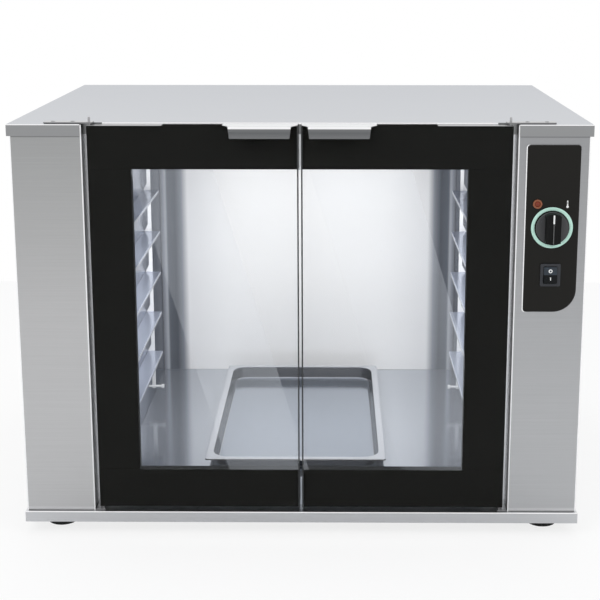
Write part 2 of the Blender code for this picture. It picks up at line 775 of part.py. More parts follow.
def make_door(side, sign):
    """One door: glass over two rails and a hinge stile, with its handle and pivots."""
    axis = pivot_empty(f"{side}_door_axis", (sign * PIN_X, PIN_Y, DOOR_BOTTOM))

    def spread(x0, x1):
        return sorted((sign * x0, sign * x1))

    left, right = spread(DOOR_INNER, DOOR_OUTER)
    block(
        f"{side}_door_glass", (left, DOOR_FRONT, DOOR_BOTTOM), (right, GLASS_BACK, DOOR_TOP), CLEAR_GLASS,
        axis, GLASS_EDGE,
    )
    top_rail = block(
        f"{side}_door_top_rail", (left, RAIL_FRONT, DOOR_TOP - TOP_BORDER), (right, DOOR_BACK, DOOR_TOP),
        BLACK_ENAMEL, axis,
    )
    bottom_rail = block(
        f"{side}_door_bottom_rail", (left, RAIL_FRONT, DOOR_BOTTOM), (right, DOOR_BACK, DOOR_BOTTOM + BOTTOM_BORDER),
        BLACK_ENAMEL, axis,
    )
    stile_left, stile_right = spread(DOOR_OUTER - SIDE_BORDER, DOOR_OUTER)
    block(
        f"{side}_door_stile", (stile_left, RAIL_FRONT, DOOR_BOTTOM + BOTTOM_BORDER + FIT),
        (stile_right, DOOR_BACK, DOOR_TOP - TOP_BORDER - FIT), BLACK_ENAMEL, axis,
    )
    bore = PIN_RADIUS + PIN_CLEARANCE
    pin_x = sign * PIN_X
    socket_top = rod(
        f"{side}_top_socket", bore, (pin_x, PIN_Y, DOOR_TOP - PIN_DEPTH - FIT),
        (pin_x, PIN_Y, DOOR_TOP + CUT_OVERRUN), (0, 0, 1), None,
    )
    socket_bottom = rod(
        f"{side}_bottom_socket", bore, (pin_x, PIN_Y, DOOR_BOTTOM - CUT_OVERRUN),
        (pin_x, PIN_Y, DOOR_BOTTOM + PIN_DEPTH + FIT), (0, 0, 1), None,
    )
    cut(top_rail, socket_top)
    cut(bottom_rail, socket_bottom)
    make_hinges(side, sign)
    make_handle(side, sign, axis)


def make_hinges(side, sign):
    """The plates and pins that the door turns on. They stay with the cabinet."""
    pin_x = sign * PIN_X
    bore = PIN_RADIUS + PIN_CLEARANCE
    plate_z = COVER_TOP + FIT
    inner = PIN_X - TOP_PLATE_REACH
    x0, x1 = sorted((sign * inner, sign * (inner + TOP_PLATE_LENGTH)))
    plate = block(
        f"{side}_top_hinge_plate", (x0, DOOR_FRONT, plate_z),
        (x1, DOOR_FRONT + TOP_PLATE_DEPTH, plate_z + PLATE_THICKNESS), ZINC,
    )
    hole = rod(
        f"{side}_plate_hole", bore, (pin_x, PIN_Y, plate_z - CUT_OVERRUN),
        (pin_x, PIN_Y, plate_z + PLATE_THICKNESS + CUT_OVERRUN), (0, 0, 1), None,
    )
    cut(plate, hole)
    rod(
        f"{side}_top_pin", PIN_RADIUS, (pin_x, PIN_Y, DOOR_TOP - PIN_DEPTH),
        (pin_x, PIN_Y, plate_z + PLATE_THICKNESS + PIN_PROUD), (0, 0, 1), ZINC,
    )
    low = BASE_TOP + FIT
    outer = OPENING_HALF - FIT
    x0, x1 = sorted((sign * outer, sign * (outer - BOTTOM_PLATE_LENGTH)))
    foot = block(
        f"{side}_bottom_hinge_plate", (x0, DOOR_FRONT, low), (x1, FRAME_FACE - FIT, low + PLATE_THICKNESS), ZINC,
    )
    middle = low + PLATE_THICKNESS / 2
    boss = rod(
        f"{side}_pivot_boss", PIVOT_BOSS_RADIUS, (pin_x, PIN_Y, middle),
        (pin_x, PIN_Y, DOOR_BOTTOM - FIT), (0, 0, 1), None,
    )
    pin = rod(
        f"{side}_bottom_pin", PIN_RADIUS, (pin_x, PIN_Y, middle),
        (pin_x, PIN_Y, DOOR_BOTTOM + PIN_DEPTH), (0, 0, 1), None,
    )
    weld(foot, boss, pin)


def make_handle(side, sign, axis):
    """A strip that lies on the door's top edge, reaches forward and hangs down as a finger pull."""
    top = DOOR_TOP + FIT + HANDLE_SHEET
    tip = DOOR_FRONT - HANDLE_REACH
    section = [
        (DOOR_FRONT + HANDLE_GRIP, top),
        (DOOR_FRONT, top),
        (tip, top),
        (tip, top - HANDLE_DROP),
    ]
    lengths = [HANDLE_ROOT_LENGTH, HANDLE_ROOT_LENGTH, HANDLE_FRONT_LENGTH, HANDLE_TIP_LENGTH]
    stations = [(section[0], (0.0, 1.0), lengths[0]), (section[1], (0.0, 1.0), lengths[1])]
    centre = (tip + HANDLE_BEND, top - HANDLE_BEND)
    for step in range(HANDLE_BEND_STEPS + 1):
        angle = math.radians(90 + 90 * step / HANDLE_BEND_STEPS)
        out = (math.cos(angle), math.sin(angle))
        spot = (centre[0] + HANDLE_BEND * out[0], centre[1] + HANDLE_BEND * out[1])
        stations.append((spot, out, lengths[2]))
    stations.append((section[3], (-1.0, 0.0), lengths[3]))
    middle = sign * (DOOR_INNER + HANDLE_INSET + HANDLE_ROOT_LENGTH / 2)
    form = bmesh.new()
    rings = []
    for (y, z), (out_y, out_z), length in stations:
        ring = []
        for x, depth in ((-0.5, 0.0), (0.5, 0.0), (0.5, 1.0), (-0.5, 1.0)):
            spot = Vector((middle + x * length, y - out_y * depth * HANDLE_SHEET, z - out_z * depth * HANDLE_SHEET))
            ring.append(form.verts.new(spot - axis.location))
        rings.append(ring)
    for low, high in zip(rings, rings[1:]):
        for i in range(4):
            j = (i + 1) % 4
            form.faces.new((low[i], low[j], high[j], high[i]))
    form.faces.new(rings[0])
    form.faces.new(rings[-1])
    add_object(f"{side}_door_handle", mesh_from(f"{side}_door_handle", form), BRUSHED, axis.location, axis)


def make_catches():
    """The magnets on the frame that hold each door shut."""
    for side, sign in (("left", -1), ("right", 1)):
        x0, x1 = sorted((sign * MAGNET_INSET, sign * (MAGNET_INSET + MAGNET_LENGTH)))
        low = DOOR_TOP - TOP_BORDER + MAGNET_RISE
        block(
            f"{side}_catch_magnet", (x0, DOOR_BACK + FIT, low), (x1, FRAME_FACE - FIT, low + MAGNET_HEIGHT),
            BLACK_PLASTIC,
        )


def make_control_plate():
    """The black plate that carries the controls. Its lower outside corner is well rounded."""
    corners = (PLATE_LARGE_CORNER, PLATE_SMALL_CORNER, PLATE_SMALL_CORNER, PLATE_SMALL_CORNER)
    outline = rounded_rectangle(PLATE_WIDTH / 2, PLATE_HEIGHT / 2, corners, PLATE_CORNER_STEPS)
    middle_z = PLATE_BOTTOM + PLATE_HEIGHT / 2
    outline = [(PLATE_MIDDLE + x, middle_z + z) for x, z in outline]
    plate = prism("control_plate", outline, "xz", PLATE_FRONT, PLATE_BACK, BLACK_PLASTIC)
    cut(plate, *control_holes("plate", PLATE_FRONT - CUT_OVERRUN, PLATE_BACK + CUT_OVERRUN))


def make_knob():
    """The temperature knob, its ring, its shaft and the thermostat that it turns."""
    ring_back = PLATE_FRONT - FIT
    ring_front = ring_back - DIAL_RING_SHEET
    inner = DIAL_RING_RADIUS - DIAL_RING_WIDTH
    ring = [(inner, ring_front), (DIAL_RING_RADIUS, ring_front), (DIAL_RING_RADIUS, ring_back), (inner, ring_back)]
    turned("dial_ring", ring, (0, 1, 0), (PLATE_MIDDLE, 0.0, KNOB_Z), MINT)
    knob_back = ring_front - FIT
    skirt_front = knob_back - KNOB_SKIRT
    knob_front = knob_back - KNOB_HEIGHT
    axis = pivot_empty("knob_axis", (PLATE_MIDDLE, knob_back, KNOB_Z))
    centre = (PLATE_MIDDLE, 0.0, KNOB_Z)
    skirt = [
        (0.0, skirt_front),
        (KNOB_RADIUS - KNOB_SKIRT / 4, skirt_front),
        (KNOB_RADIUS, skirt_front + KNOB_SKIRT / 4),
        (KNOB_RADIUS, knob_back),
        (0.0, knob_back),
    ]
    knob = turned("temperature_knob", skirt, (0, 1, 0), centre, BLACK_PLASTIC, parent=axis)
    wide = KNOB_GRIP_WIDTH / 2
    narrow = wide - KNOB_GRIP_TAPER
    reach = KNOB_RADIUS - KNOB_SKIRT / 4 - FIT
    root = skirt_front + KNOB_SKIRT / 2
    form = bmesh.new()
    base, crown = [], []
    for x, z in ((-wide, -1), (wide, -1), (wide, 1), (-wide, 1)):
        chord = math.sqrt(reach ** 2 - wide ** 2)
        base.append(form.verts.new((x, root, z * chord)))
        crown.append(form.verts.new((math.copysign(narrow, x), knob_front, z * chord)))
    form.faces.new(base)
    form.faces.new(crown)
    for i in range(4):
        j = (i + 1) % 4
        form.faces.new((base[i], base[j], crown[j], crown[i]))
    grip = add_object("knob_grip", mesh_from("knob_grip", form), None, centre)
    weld(knob, grip)
    socket = rod(
        "knob_socket", SHAFT_RADIUS + FIT, (PLATE_MIDDLE, knob_back - KNOB_SOCKET_DEPTH - FIT, KNOB_Z),
        (PLATE_MIDDLE, knob_back + CUT_OVERRUN, KNOB_Z), (0, 1, 0), None,
    )
    cut(knob, socket)
    body_front = COLUMN_INSIDE + FIT
    rod(
        "thermostat_shaft", SHAFT_RADIUS, (PLATE_MIDDLE, knob_back - KNOB_SOCKET_DEPTH, KNOB_Z),
        (PLATE_MIDDLE, body_front + SHAFT_DEPTH, KNOB_Z), (0, 1, 0), ZINC, axis,
    )
    body = block(
        "thermostat_body",
        (PLATE_MIDDLE - THERMOSTAT_WIDTH / 2, body_front, KNOB_Z - THERMOSTAT_HEIGHT / 2),
        (PLATE_MIDDLE + THERMOSTAT_WIDTH / 2, body_front + THERMOSTAT_DEPTH, KNOB_Z + THERMOSTAT_HEIGHT / 2), ZINC,
    )
    bore = rod(
        "thermostat_bore", SHAFT_RADIUS + FIT, (PLATE_MIDDLE, body_front - CUT_OVERRUN, KNOB_Z),
        (PLATE_MIDDLE, body_front + SHAFT_DEPTH + FIT, KNOB_Z), (0, 1, 0), None,
    )
    cut(body, bore)
    bulb_x = CHAMBER_HALF - FIT - BULB_RADIUS
    bulb_z = CEILING - BULB_DROP
    bulb_back = CHAMBER_BACK - BULB_BACK_INSET
    rod(
        "thermostat_bulb", BULB_RADIUS, (bulb_x, bulb_back - BULB_LENGTH, bulb_z),
        (bulb_x, bulb_back, bulb_z), (0, 1, 0), ZINC, steps=SMALL_STEPS,
    )


def make_lamp():
    """The indicator lamp: a round lens on a body that passes through plate and column."""
    face = PLATE_FRONT - FIT
    flange_front = face - LAMP_FLANGE
    profile = [(0.0, flange_front - LAMP_DOME)]
    for step in range(1, LAMP_STEPS + 1):
        angle = math.radians(90 * step / LAMP_STEPS)
        profile.append((LAMP_RADIUS * math.sin(angle), flange_front - LAMP_DOME * math.cos(angle)))
    profile += [
        (LAMP_RADIUS, face),
        (LAMP_BODY_RADIUS, face),
        (LAMP_BODY_RADIUS, face + LAMP_BODY_LENGTH),
        (0.0, face + LAMP_BODY_LENGTH),
    ]
    turned("indicator_lamp", profile, (0, 1, 0), (LAMP_X, 0.0, LAMP_Z), AMBER)


def make_switch():
    """The main switch: a housing in the plate, and a rocker that tips in its recess."""
    face = PLATE_FRONT - FIT
    front = face - SWITCH_FLANGE
    x, z = PLATE_MIDDLE, SWITCH_Z
    half_width, half_height = SWITCH_WIDTH / 2, SWITCH_HEIGHT / 2
    housing = block(
        "switch_housing", (x - half_width, front, z - half_height), (x + half_width, face, z + half_height),
        BLACK_PLASTIC,
    )
    neck_width, neck_height = half_width - SWITCH_BODY_INSET, half_height - SWITCH_BODY_INSET
    neck = block(
        "switch_neck", (x - neck_width, face - SWITCH_FLANGE / 2, z - neck_height),
        (x + neck_width, face + SWITCH_BODY_DEPTH, z + neck_height), None,
    )
    weld(housing, neck)
    recess_width = ROCKER_WIDTH / 2 + ROCKER_SIDE_GAP
    recess_height = ROCKER_HEIGHT / 2 + ROCKER_END_GAP
    recess = block(
        "switch_recess", (x - recess_width, front - CUT_OVERRUN, z - recess_height),
        (x + recess_width, front + ROCKER_PIVOT_DEPTH + RECESS_DEPTH, z + recess_height), None,
    )
    cut(housing, recess)
    axis = pivot_empty("rocker_axis", (x, front + ROCKER_PIVOT_DEPTH, z))
    end = ROCKER_HEIGHT / 2
    outline = [
        (-ROCKER_END_RISE, -end),
        (-ROCKER_MIDDLE_RISE, 0.0),
        (-ROCKER_END_RISE, end),
        (ROCKER_BACK, end),
        (ROCKER_BACK + ROCKER_BACK, 0.0),
        (ROCKER_BACK, -end),
    ]
    half = ROCKER_WIDTH / 2
    rocker = prism("switch_rocker", outline, "yz", -half, half, BLACK_PLASTIC)
    rocker.parent = axis
    rocker.rotation_euler = (-ROCKER_TILT, 0.0, 0.0)


def make_heater():
    """The heating element, a tube bent to and fro under the chamber's floor."""
    z = FLOOR_TOP - SHEET - FIT - HEATER_RADIUS
    radius = HEATER_TURN_RADIUS
    half_width = CHAMBER_HALF - HEATER_SIDE_GAP
    straight = half_width - radius
    middle = (FRAME_FACE + CHAMBER_BACK) / 2
    first = middle - radius * HEATER_TURNS
    points = [(half_width, first)]
    for turn in range(HEATER_TURNS):
        y = first + 2 * radius * turn + radius
        side = -1 if turn % 2 == 0 else 1
        start, end = (-90, -270) if side < 0 else (-90, 90)
        points += arc((side * straight, y), radius, start, end, HEATER_ARC_STEPS)
    last = first + 2 * radius * HEATER_TURNS
    points.append((half_width, last))
    curve = bpy.data.curves.new("heating_element", "CURVE")
    curve.dimensions = "3D"
    curve.bevel_depth = HEATER_RADIUS
    curve.bevel_resolution = 2
    curve.use_fill_caps = True
    line = curve.splines.new("POLY")
    line.points.add(len(points) - 1)
    for spot, (x, y) in zip(line.points, points):
        spot.co = (x, y, 0.0, 1.0)
    add_object("heating_element", curve, ZINC, (0.0, 0.0, z))


def make_terminals():
    """The terminal block that the supply cable would end in, on the base behind the gland."""
    x = BODY_HALF - GLAND_SIDE_INSET
    y = BODY_BACK - TERMINAL_BACK_INSET
    low = BASE_TOP + FIT
    block(
        "terminal_block", (x - TERMINAL_LENGTH / 2, y - TERMINAL_WIDTH, low),
        (x + TERMINAL_LENGTH / 2, y, low + TERMINAL_HEIGHT), CERAMIC,
    )


make_base()
make_cover()
make_columns()
make_back()
make_chamber()
make_racks()
make_pan()
for door_side, door_sign in (("left", -1), ("right", 1)):
    make_door(door_side, door_sign)
make_catches()
make_control_plate()
make_knob()
make_lamp()
make_switch()
make_heater()
make_terminals()
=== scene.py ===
# %% [markdown]
# # A proofing cabinet in stainless steel and glass
# This notebook dresses a counter-top proofing cabinet, in which a bakery lets its dough rise. The
# solid parts come from the frame at their real size, and each cell gives them a finish or replaces
# a plain part with a finer one. Everything is in metres, with +X to the right, +Y to the back and
# +Z up.

# %% Load the solid parts
import json
import math

import bmesh
import bpy
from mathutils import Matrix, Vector

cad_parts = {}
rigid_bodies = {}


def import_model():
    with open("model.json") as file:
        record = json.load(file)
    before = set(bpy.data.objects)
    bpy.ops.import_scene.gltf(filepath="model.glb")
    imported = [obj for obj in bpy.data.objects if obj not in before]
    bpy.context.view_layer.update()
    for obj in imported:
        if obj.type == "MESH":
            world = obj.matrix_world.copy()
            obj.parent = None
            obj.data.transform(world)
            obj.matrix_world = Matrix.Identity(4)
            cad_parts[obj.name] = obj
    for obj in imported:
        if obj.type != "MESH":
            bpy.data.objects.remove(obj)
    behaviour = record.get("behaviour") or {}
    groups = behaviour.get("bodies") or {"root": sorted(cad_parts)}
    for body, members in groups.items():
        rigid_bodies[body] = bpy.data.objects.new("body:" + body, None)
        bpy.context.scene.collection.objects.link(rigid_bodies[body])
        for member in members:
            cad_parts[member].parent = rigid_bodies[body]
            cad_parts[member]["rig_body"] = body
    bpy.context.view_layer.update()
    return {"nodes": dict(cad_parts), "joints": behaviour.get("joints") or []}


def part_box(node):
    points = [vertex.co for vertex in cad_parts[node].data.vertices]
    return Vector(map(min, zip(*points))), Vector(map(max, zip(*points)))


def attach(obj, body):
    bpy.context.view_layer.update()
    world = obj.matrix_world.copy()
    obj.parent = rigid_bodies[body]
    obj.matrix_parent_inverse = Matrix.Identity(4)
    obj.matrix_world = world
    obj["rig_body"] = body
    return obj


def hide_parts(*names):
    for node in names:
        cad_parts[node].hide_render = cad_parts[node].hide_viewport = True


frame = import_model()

nodes = frame["nodes"]

# %% [markdown]
# ## Working as by hand
# Each new piece starts from one of Blender's primitives, is shaped with operators and modifiers,
# and ends with its place in its mesh. Operators act on whatever is selected, so these helpers first
# empty the selection, and then pick faces and edges by their place or their direction.

# %% Helpers that every piece uses
MM = 0.001


def choose(piece):
    """Makes one object the only selected and active one."""
    bpy.ops.object.select_all(action="DESELECT")
    piece.select_set(True)
    bpy.context.view_layer.objects.active = piece


def settle(name):
    """Names the newest object and moves its place, turn and scale into its mesh."""
    piece = bpy.context.active_object
    piece.name = name
    piece.data.name = name
    choose(piece)
    bpy.ops.object.transform_apply(location=True, rotation=True, scale=True)
    return piece


def slab(name, low, high):
    """A rectangular block between two corners."""
    low, high = Vector(low), Vector(high)
    bpy.ops.object.select_all(action="DESELECT")
    bpy.ops.mesh.primitive_cube_add(size=1, location=(low + high) / 2)
    bpy.context.active_object.scale = high - low
    return settle(name)


def barrel(name, centre, radius, length, axis="Y", sides=64):
    """A cylinder about a centre, along one of the three axes."""
    turn = {"X": (0, math.pi / 2, 0), "Y": (math.pi / 2, 0, 0), "Z": (0, 0, 0)}[axis]
    bpy.ops.object.select_all(action="DESELECT")
    bpy.ops.mesh.primitive_cylinder_add(
        vertices=sides, radius=radius, depth=length, location=centre, rotation=turn
    )
    return settle(name)


def pick(piece, mode, test):
    """Selects only the edges, or only the faces, that pass a test."""
    bpy.ops.mesh.select_all(action="DESELECT")
    form = bmesh.from_edit_mesh(piece.data)
    for part in form.edges if mode == "EDGE" else form.faces:
        if test(part):
            part.select_set(True)
    form.select_flush_mode()
    bmesh.update_edit_mesh(piece.data)


def edit(piece, mode="FACE", test=None):
    """Opens a piece in edit mode, with all of it selected or only what passes a test."""
    choose(piece)
    bpy.ops.object.mode_set(mode="EDIT")
    bpy.ops.mesh.select_mode(type=mode)
    bpy.ops.mesh.select_all(action="SELECT")
    if test:
        pick(piece, mode, test)


def leave(piece):
    """Goes back to object mode."""
    bpy.ops.object.mode_set(mode="OBJECT")
    return piece


def round_edges(piece, test, offset, segments):
    """Bevels the edges that pass a test."""
    edit(piece, "EDGE", test)
    bpy.ops.mesh.bevel(offset=offset, segments=segments, affect="EDGES")
    return leave(piece)


def slice_at(piece, place, direction, **settings):
    """Cuts through a whole piece with a plane."""
    edit(piece)
    bpy.ops.mesh.bisect(plane_co=place, plane_no=direction, **settings)
    return leave(piece)


def facing(direction, least=0.9):
    """A test for faces that look along a direction."""
    direction = Vector(direction)
    return lambda face: face.normal.dot(direction) > least


def along(axis, test=lambda middle: True):
    """A test for straight edges that run along an axis, where their middle passes a second test."""
    def check(edge):
        run = edge.verts[1].co - edge.verts[0].co
        if run.length == 0.0 or abs(run.normalized()[axis]) < 0.99:
            return False
        return test((edge.verts[0].co + edge.verts[1].co) / 2)
    return check


def level_at(axis, place):
    """A test for edges that lie at one place along an axis."""
    return lambda edge: all(abs(v.co[axis] - place) < 0.01 * MM for v in edge.verts)


def apply_modifier(piece, kind, **settings):
    """Adds a modifier with these settings and applies it at once."""
    choose(piece)
    modifier = piece.modifiers.new("step", kind)
    for key, value in settings.items():
        setattr(modifier, key, value)
    bpy.ops.object.modifier_apply(modifier=modifier.name)
    return piece


def ease(piece, width, segments=2, angle=30):
    """Rounds the sharp edges of a piece."""
    return apply_modifier(
        piece, "BEVEL", width=width, segments=segments, limit_method="ANGLE", angle_limit=math.radians(angle)
    )


def combine(piece, other, operation):
    """Cuts another shape out of a piece, joins it on, or keeps what they share."""
    apply_modifier(piece, "BOOLEAN", operation=operation, object=other, solver="EXACT")
    bpy.data.objects.remove(other, do_unlink=True)
    return piece


# %% [markdown]
# ## The camera
# The photograph was taken from just above the cabinet's top and a little to the right of its
# middle, with upright edges kept upright by the lens. A lens shift that strong would push the
# cabinet out of the picture from every other side, so this camera has a small shift and tilts down
# for the rest.

# %% Place the camera
PICTURE = 600
LENS_PIXELS = 1252.4
SENSOR = 36.0
CAMERA_PLACE = Vector((0.0577, -2.4, 1.0))
CAMERA_TILT = math.radians(11.548)
CAMERA_TURN = math.radians(0.470)

lens = bpy.data.cameras.new("camera")
lens.sensor_width = SENSOR
lens.lens = SENSOR * LENS_PIXELS / PICTURE
lens.shift_x = -0.04
lens.shift_y = -0.14
camera = bpy.data.objects.new("camera", lens)
camera.location = CAMERA_PLACE
camera.rotation_euler = (math.pi / 2 - CAMERA_TILT, 0.0, CAMERA_TURN)
bpy.context.scene.collection.objects.link(camera)
bpy.context.scene.camera = camera
bpy.context.scene.view_settings.view_transform = "Standard"
print("lens", round(lens.lens, 1), "mm, camera at", [round(v, 3) for v in camera.location])

# %% [markdown]
# ## The white studio
# The cabinet stands on white, with a faint shadow under it. Brushed steel shows little but what it mirrors,
# so the room is the same white wherever it is mirrored, and the steel's tone decides how bright it looks;
# that tone has light and shade painted into it, which follow the way each face looks and where it stands.
# Large soft lamps add gentle changes from one face to the next.

# %% Floor, world and lamps
FLOOR_SIZE = 3.2
FLOOR_FORWARD = 0.15
FLOOR_GAP = 0.0002
PAPER, WHITE = (0.97, 0.97, 0.97, 1), (1, 1, 1, 1)
GLOW_SHARE = 0.80
COOL_LIGHT = (0.97, 0.985, 1.0, 1)
SOFT_LIGHT = 0.62
chamber_low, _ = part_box("chamber_floor")
wall_low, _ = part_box("chamber_back_wall")
LAMPS = {
    "key": ((-1.6, -2.2, 2.6), (0, 0, 0.3), 1.6, 1.2, 26),
    "fill": ((1.9, -1.6, 1.8), (0, 0, 0.3), 1.4, 1.4, 12),
    "top": ((0, 0.3, 2.6), (0, 0, 0), 2.0, 1.6, 20),
    "in_chamber": ((0, chamber_low.y + 0.08, 0.50), (0, wall_low.y, 0.32), 0.5, 0.26, 3.7),
}

bpy.ops.object.select_all(action="DESELECT")
bpy.ops.mesh.primitive_plane_add(size=FLOOR_SIZE, location=(0, -FLOOR_FORWARD, -FLOOR_GAP))
studio_floor = settle("studio_floor")


def new_material(name):
    """An empty node material, with its tree and its output."""
    material = bpy.data.materials.new(name)
    material.use_nodes = True
    tree = material.node_tree
    tree.nodes.clear()
    return material, tree, tree.nodes.new("ShaderNodeOutputMaterial")


def add_node(tree, kind, values=None, **options):
    """Adds a shader node and fills its inputs with numbers, colours or other nodes' results."""
    node = tree.nodes.new(f"ShaderNode{kind}")
    for option, value in options.items():
        setattr(node, option, value)
    for socket, value in (values or {}).items():
        if isinstance(value, bpy.types.NodeSocket):
            tree.links.new(value, node.inputs[socket])
        else:
            node.inputs[socket].default_value = value
    return node


def math_node(tree, operation, first, second=0.0):
    """The result of a sum or a test."""
    return add_node(tree, "Math", {0: first, 1: second}, operation=operation).outputs[0]


def white_floor():
    """White where the camera sees it, straight or through glass, with the shadow mixed in."""
    material, tree, output = new_material("studio_white")
    paper = add_node(tree, "BsdfDiffuse", {"Color": PAPER})
    glow = add_node(tree, "Emission", {"Color": WHITE, "Strength": 1.0})
    rays = add_node(tree, "LightPath").outputs
    seen = math_node(tree, "MAXIMUM", rays["Is Camera Ray"], rays["Is Transmission Ray"])
    share = math_node(tree, "MULTIPLY", seen, GLOW_SHARE)
    mix = add_node(tree, "MixShader", {"Fac": share, 1: paper.outputs[0], 2: glow.outputs[0]})
    tree.links.new(mix.outputs[0], output.inputs["Surface"])
    return material


def studio_world():
    """White where it is seen or mirrored, and a softer, slightly cool light on everything else."""
    world = bpy.data.worlds.new("studio")
    bpy.context.scene.world = world
    world.use_nodes = True
    tree = world.node_tree
    tree.nodes.clear()
    output = tree.nodes.new("ShaderNodeOutputWorld")
    soft = add_node(tree, "Background", {"Color": COOL_LIGHT, "Strength": SOFT_LIGHT})
    white = add_node(tree, "Background", {"Color": WHITE, "Strength": 1.0})
    rays = add_node(tree, "LightPath").outputs
    seen = rays["Is Camera Ray"]
    for kind in ("Is Glossy Ray", "Is Transmission Ray"):
        seen = math_node(tree, "MAXIMUM", seen, rays[kind])
    mix = add_node(tree, "MixShader", {"Fac": seen, 1: soft.outputs[0], 2: white.outputs[0]})
    tree.links.new(mix.outputs[0], output.inputs["Surface"])


studio_floor.data.materials.append(white_floor())
studio_world()


def soft_lamp(name, place, target, width, height, power):
    """A rectangular lamp that looks at a target and isn't mirrored in the steel."""
    data = bpy.data.lights.new(name, "AREA")
    data.shape = "RECTANGLE"
    data.size = width
    data.size_y = height
    data.energy = power
    lamp = bpy.data.objects.new(name, data)
    lamp.location = place
    lamp.rotation_euler = (Vector(target) - Vector(place)).to_track_quat("-Z", "Y").to_euler()
    lamp.visible_glossy = False
    lamp.visible_camera = False
    lamp.visible_transmission = False
    bpy.context.scene.collection.objects.link(lamp)


for name, settings in LAMPS.items():
    soft_lamp(name, *settings)
print("lamps:", len(LAMPS))

# %% [markdown]
# ## Steel
# Stainless sheet is ground in one direction, which leaves fine lines. A noise that is stretched
# along the lines gives them: it changes the tone by a few per cent, the roughness a little more,
# and the surface by a few microns. On the side panels the lines run front to back, so the pattern
# is picked by the direction that the face looks in.

# %% Brushed steel
LINES_PER_METRE = 900.0
LINE_STRETCH = 6.0
LINE_DEPTH = 0.00003
STEEP, LEVEL = 0.45, 0.85
NOISE_LOW, NOISE_HIGH = 0.3, 0.7
# Near-white for a painted highlight on bends; the marks two lines down place it across a bend.
PAINTED_HIGHLIGHT = (0.95, 0.95, 0.96, 1)
FULL, NONE = (1.0, 1.0, 1.0), (0.0, 0.0, 0.0)
BEND_HIGHLIGHT_MARKS = ((0.0, NONE), (0.25, FULL), (0.90, FULL), (1.0, NONE))


def coordinate(tree, kind, axis):
    """One axis of the place on the object, or of the direction that its surface looks in."""
    where = add_node(tree, "TexCoord")
    return add_node(tree, "SeparateXYZ", {0: where.outputs[kind]}).outputs[axis]


def ranged(tree, value, start, end, low=0.0, high=1.0):
    """Maps the values from start to end onto those from low to high."""
    ends = {"From Min": start, "From Max": end, "To Min": low, "To Max": high}
    return add_node(tree, "MapRange", {"Value": value, **ends}).outputs["Result"]


def varied(tree, noise, low, high):
    """Turns a noise, which stays near its middle, into a range of values."""
    return ranged(tree, noise, NOISE_LOW, NOISE_HIGH, low, high)


def ramp(tree, value, marks):
    """A colour that runs through marks, each a share from 0 to 1 and a tone."""
    node = add_node(tree, "ValToRGB", {"Fac": value})
    elements = node.color_ramp.elements
    for element, (share, tone) in zip(elements, (marks[0], marks[-1])):
        element.position = share
        element.color = (*tone, 1)
    for share, tone in marks[1:-1]:
        elements.new(share).color = (*tone, 1)
    return node.outputs["Color"]


def blended(tree, share, first, second):
    """A mix of two colours."""
    return add_node(tree, "Mix", {"Factor": share, 6: first, 7: second}, data_type="RGBA").outputs[2]


def brushed_lines(tree):
    """A noise of fine lines along X, and along Y on faces that look sideways."""
    where = add_node(tree, "TexCoord").outputs["Object"]
    patterns = []
    for stretch in ((LINE_STRETCH, LINES_PER_METRE, LINES_PER_METRE), (1.0, LINE_STRETCH, LINES_PER_METRE)):
        mapping = add_node(tree, "Mapping", {"Vector": where, "Scale": stretch})
        noise = add_node(tree, "TexNoise", {"Vector": mapping.outputs["Vector"], "Scale": 1.0, "Detail": 3.0})
        patterns.append(noise.outputs["Fac"])
    sideways = math_node(tree, "ABSOLUTE", coordinate(tree, "Normal", "X"))
    values = {"Factor": sideways, "A": patterns[0], "B": patterns[1]}
    return add_node(tree, "Mix", values, data_type="FLOAT").outputs["Result"]


def bumped(tree, shader, value, strength, distance):
    """Lets a pattern raise the surface a little."""
    bump = add_node(tree, "Bump", {"Height": value, "Strength": strength, "Distance": distance})
    tree.links.new(bump.outputs["Normal"], shader.inputs["Normal"])


def toned(tree, axis, stops):
    """A colour that changes along an axis of the cabinet. A stop is a place in metres and a tone."""
    low, high = stops[0][0], stops[-1][0]
    share = ranged(tree, coordinate(tree, "Object", axis), low, high)
    return ramp(tree, share, [((place - low) / (high - low), tone) for place, tone in stops])


def upwards(tree, side_tone, top_tone):
    """One tone on upright faces and another on those that look up or down, which paints light and shade by
    the way a face looks.
    """
    height = math_node(tree, "ABSOLUTE", coordinate(tree, "Normal", "Z"))
    return blended(tree, ranged(tree, height, STEEP, LEVEL), side_tone, top_tone)


def glint(tree, tone, axis):
    """Paints a highlight on a bend, where the surface turns from facing along an axis to facing across it."""
    turn = math_node(tree, "ABSOLUTE", coordinate(tree, "Normal", axis))
    return blended(tree, ramp(tree, turn, BEND_HIGHLIGHT_MARKS), tone, PAINTED_HIGHLIGHT)


def scaled_by(tree, tone, factor):
    """A colour times another colour, or times a number."""
    second, operation = ("Scale", "SCALE") if factor.type == "VALUE" else (1, "MULTIPLY")
    return add_node(tree, "VectorMath", {0: tone, second: factor}, operation=operation).outputs[0]


def steel(name, sides, roughness, top=None, spread=0.04, metallic=1.0, bump=0.05, bend=None, across=None):
    """Ground stainless sheet. Its tones are an axis and stops along it, for upright and for level
    faces, which paints light and shade by the way a face looks, and the upright ones may be darkened
    or lightened along a second axis, which paints more shade. A bend may get a painted highlight."""
    material, tree, output = new_material(name)
    tone = toned(tree, *sides)
    if across:
        tone = scaled_by(tree, tone, toned(tree, *across))
    if top:
        tone = upwards(tree, tone, toned(tree, *top))
    if bend:
        tone = glint(tree, tone, bend)
    lines = brushed_lines(tree)
    shader = add_node(tree, "BsdfPrincipled", {
        "Base Color": scaled_by(tree, tone, varied(tree, lines, 1 - spread, 1 + spread)),
        "Roughness": varied(tree, lines, roughness - 0.8 * spread, roughness + spread),
        "Metallic": metallic,
    })
    bumped(tree, shader, lines, bump, LINE_DEPTH)
    tree.links.new(shader.outputs[0], output.inputs["Surface"])
    return material


def plain(colour):
    """The same tone all over, as an axis and two stops."""
    return "Z", ((0.0, colour), (1.0, colour))
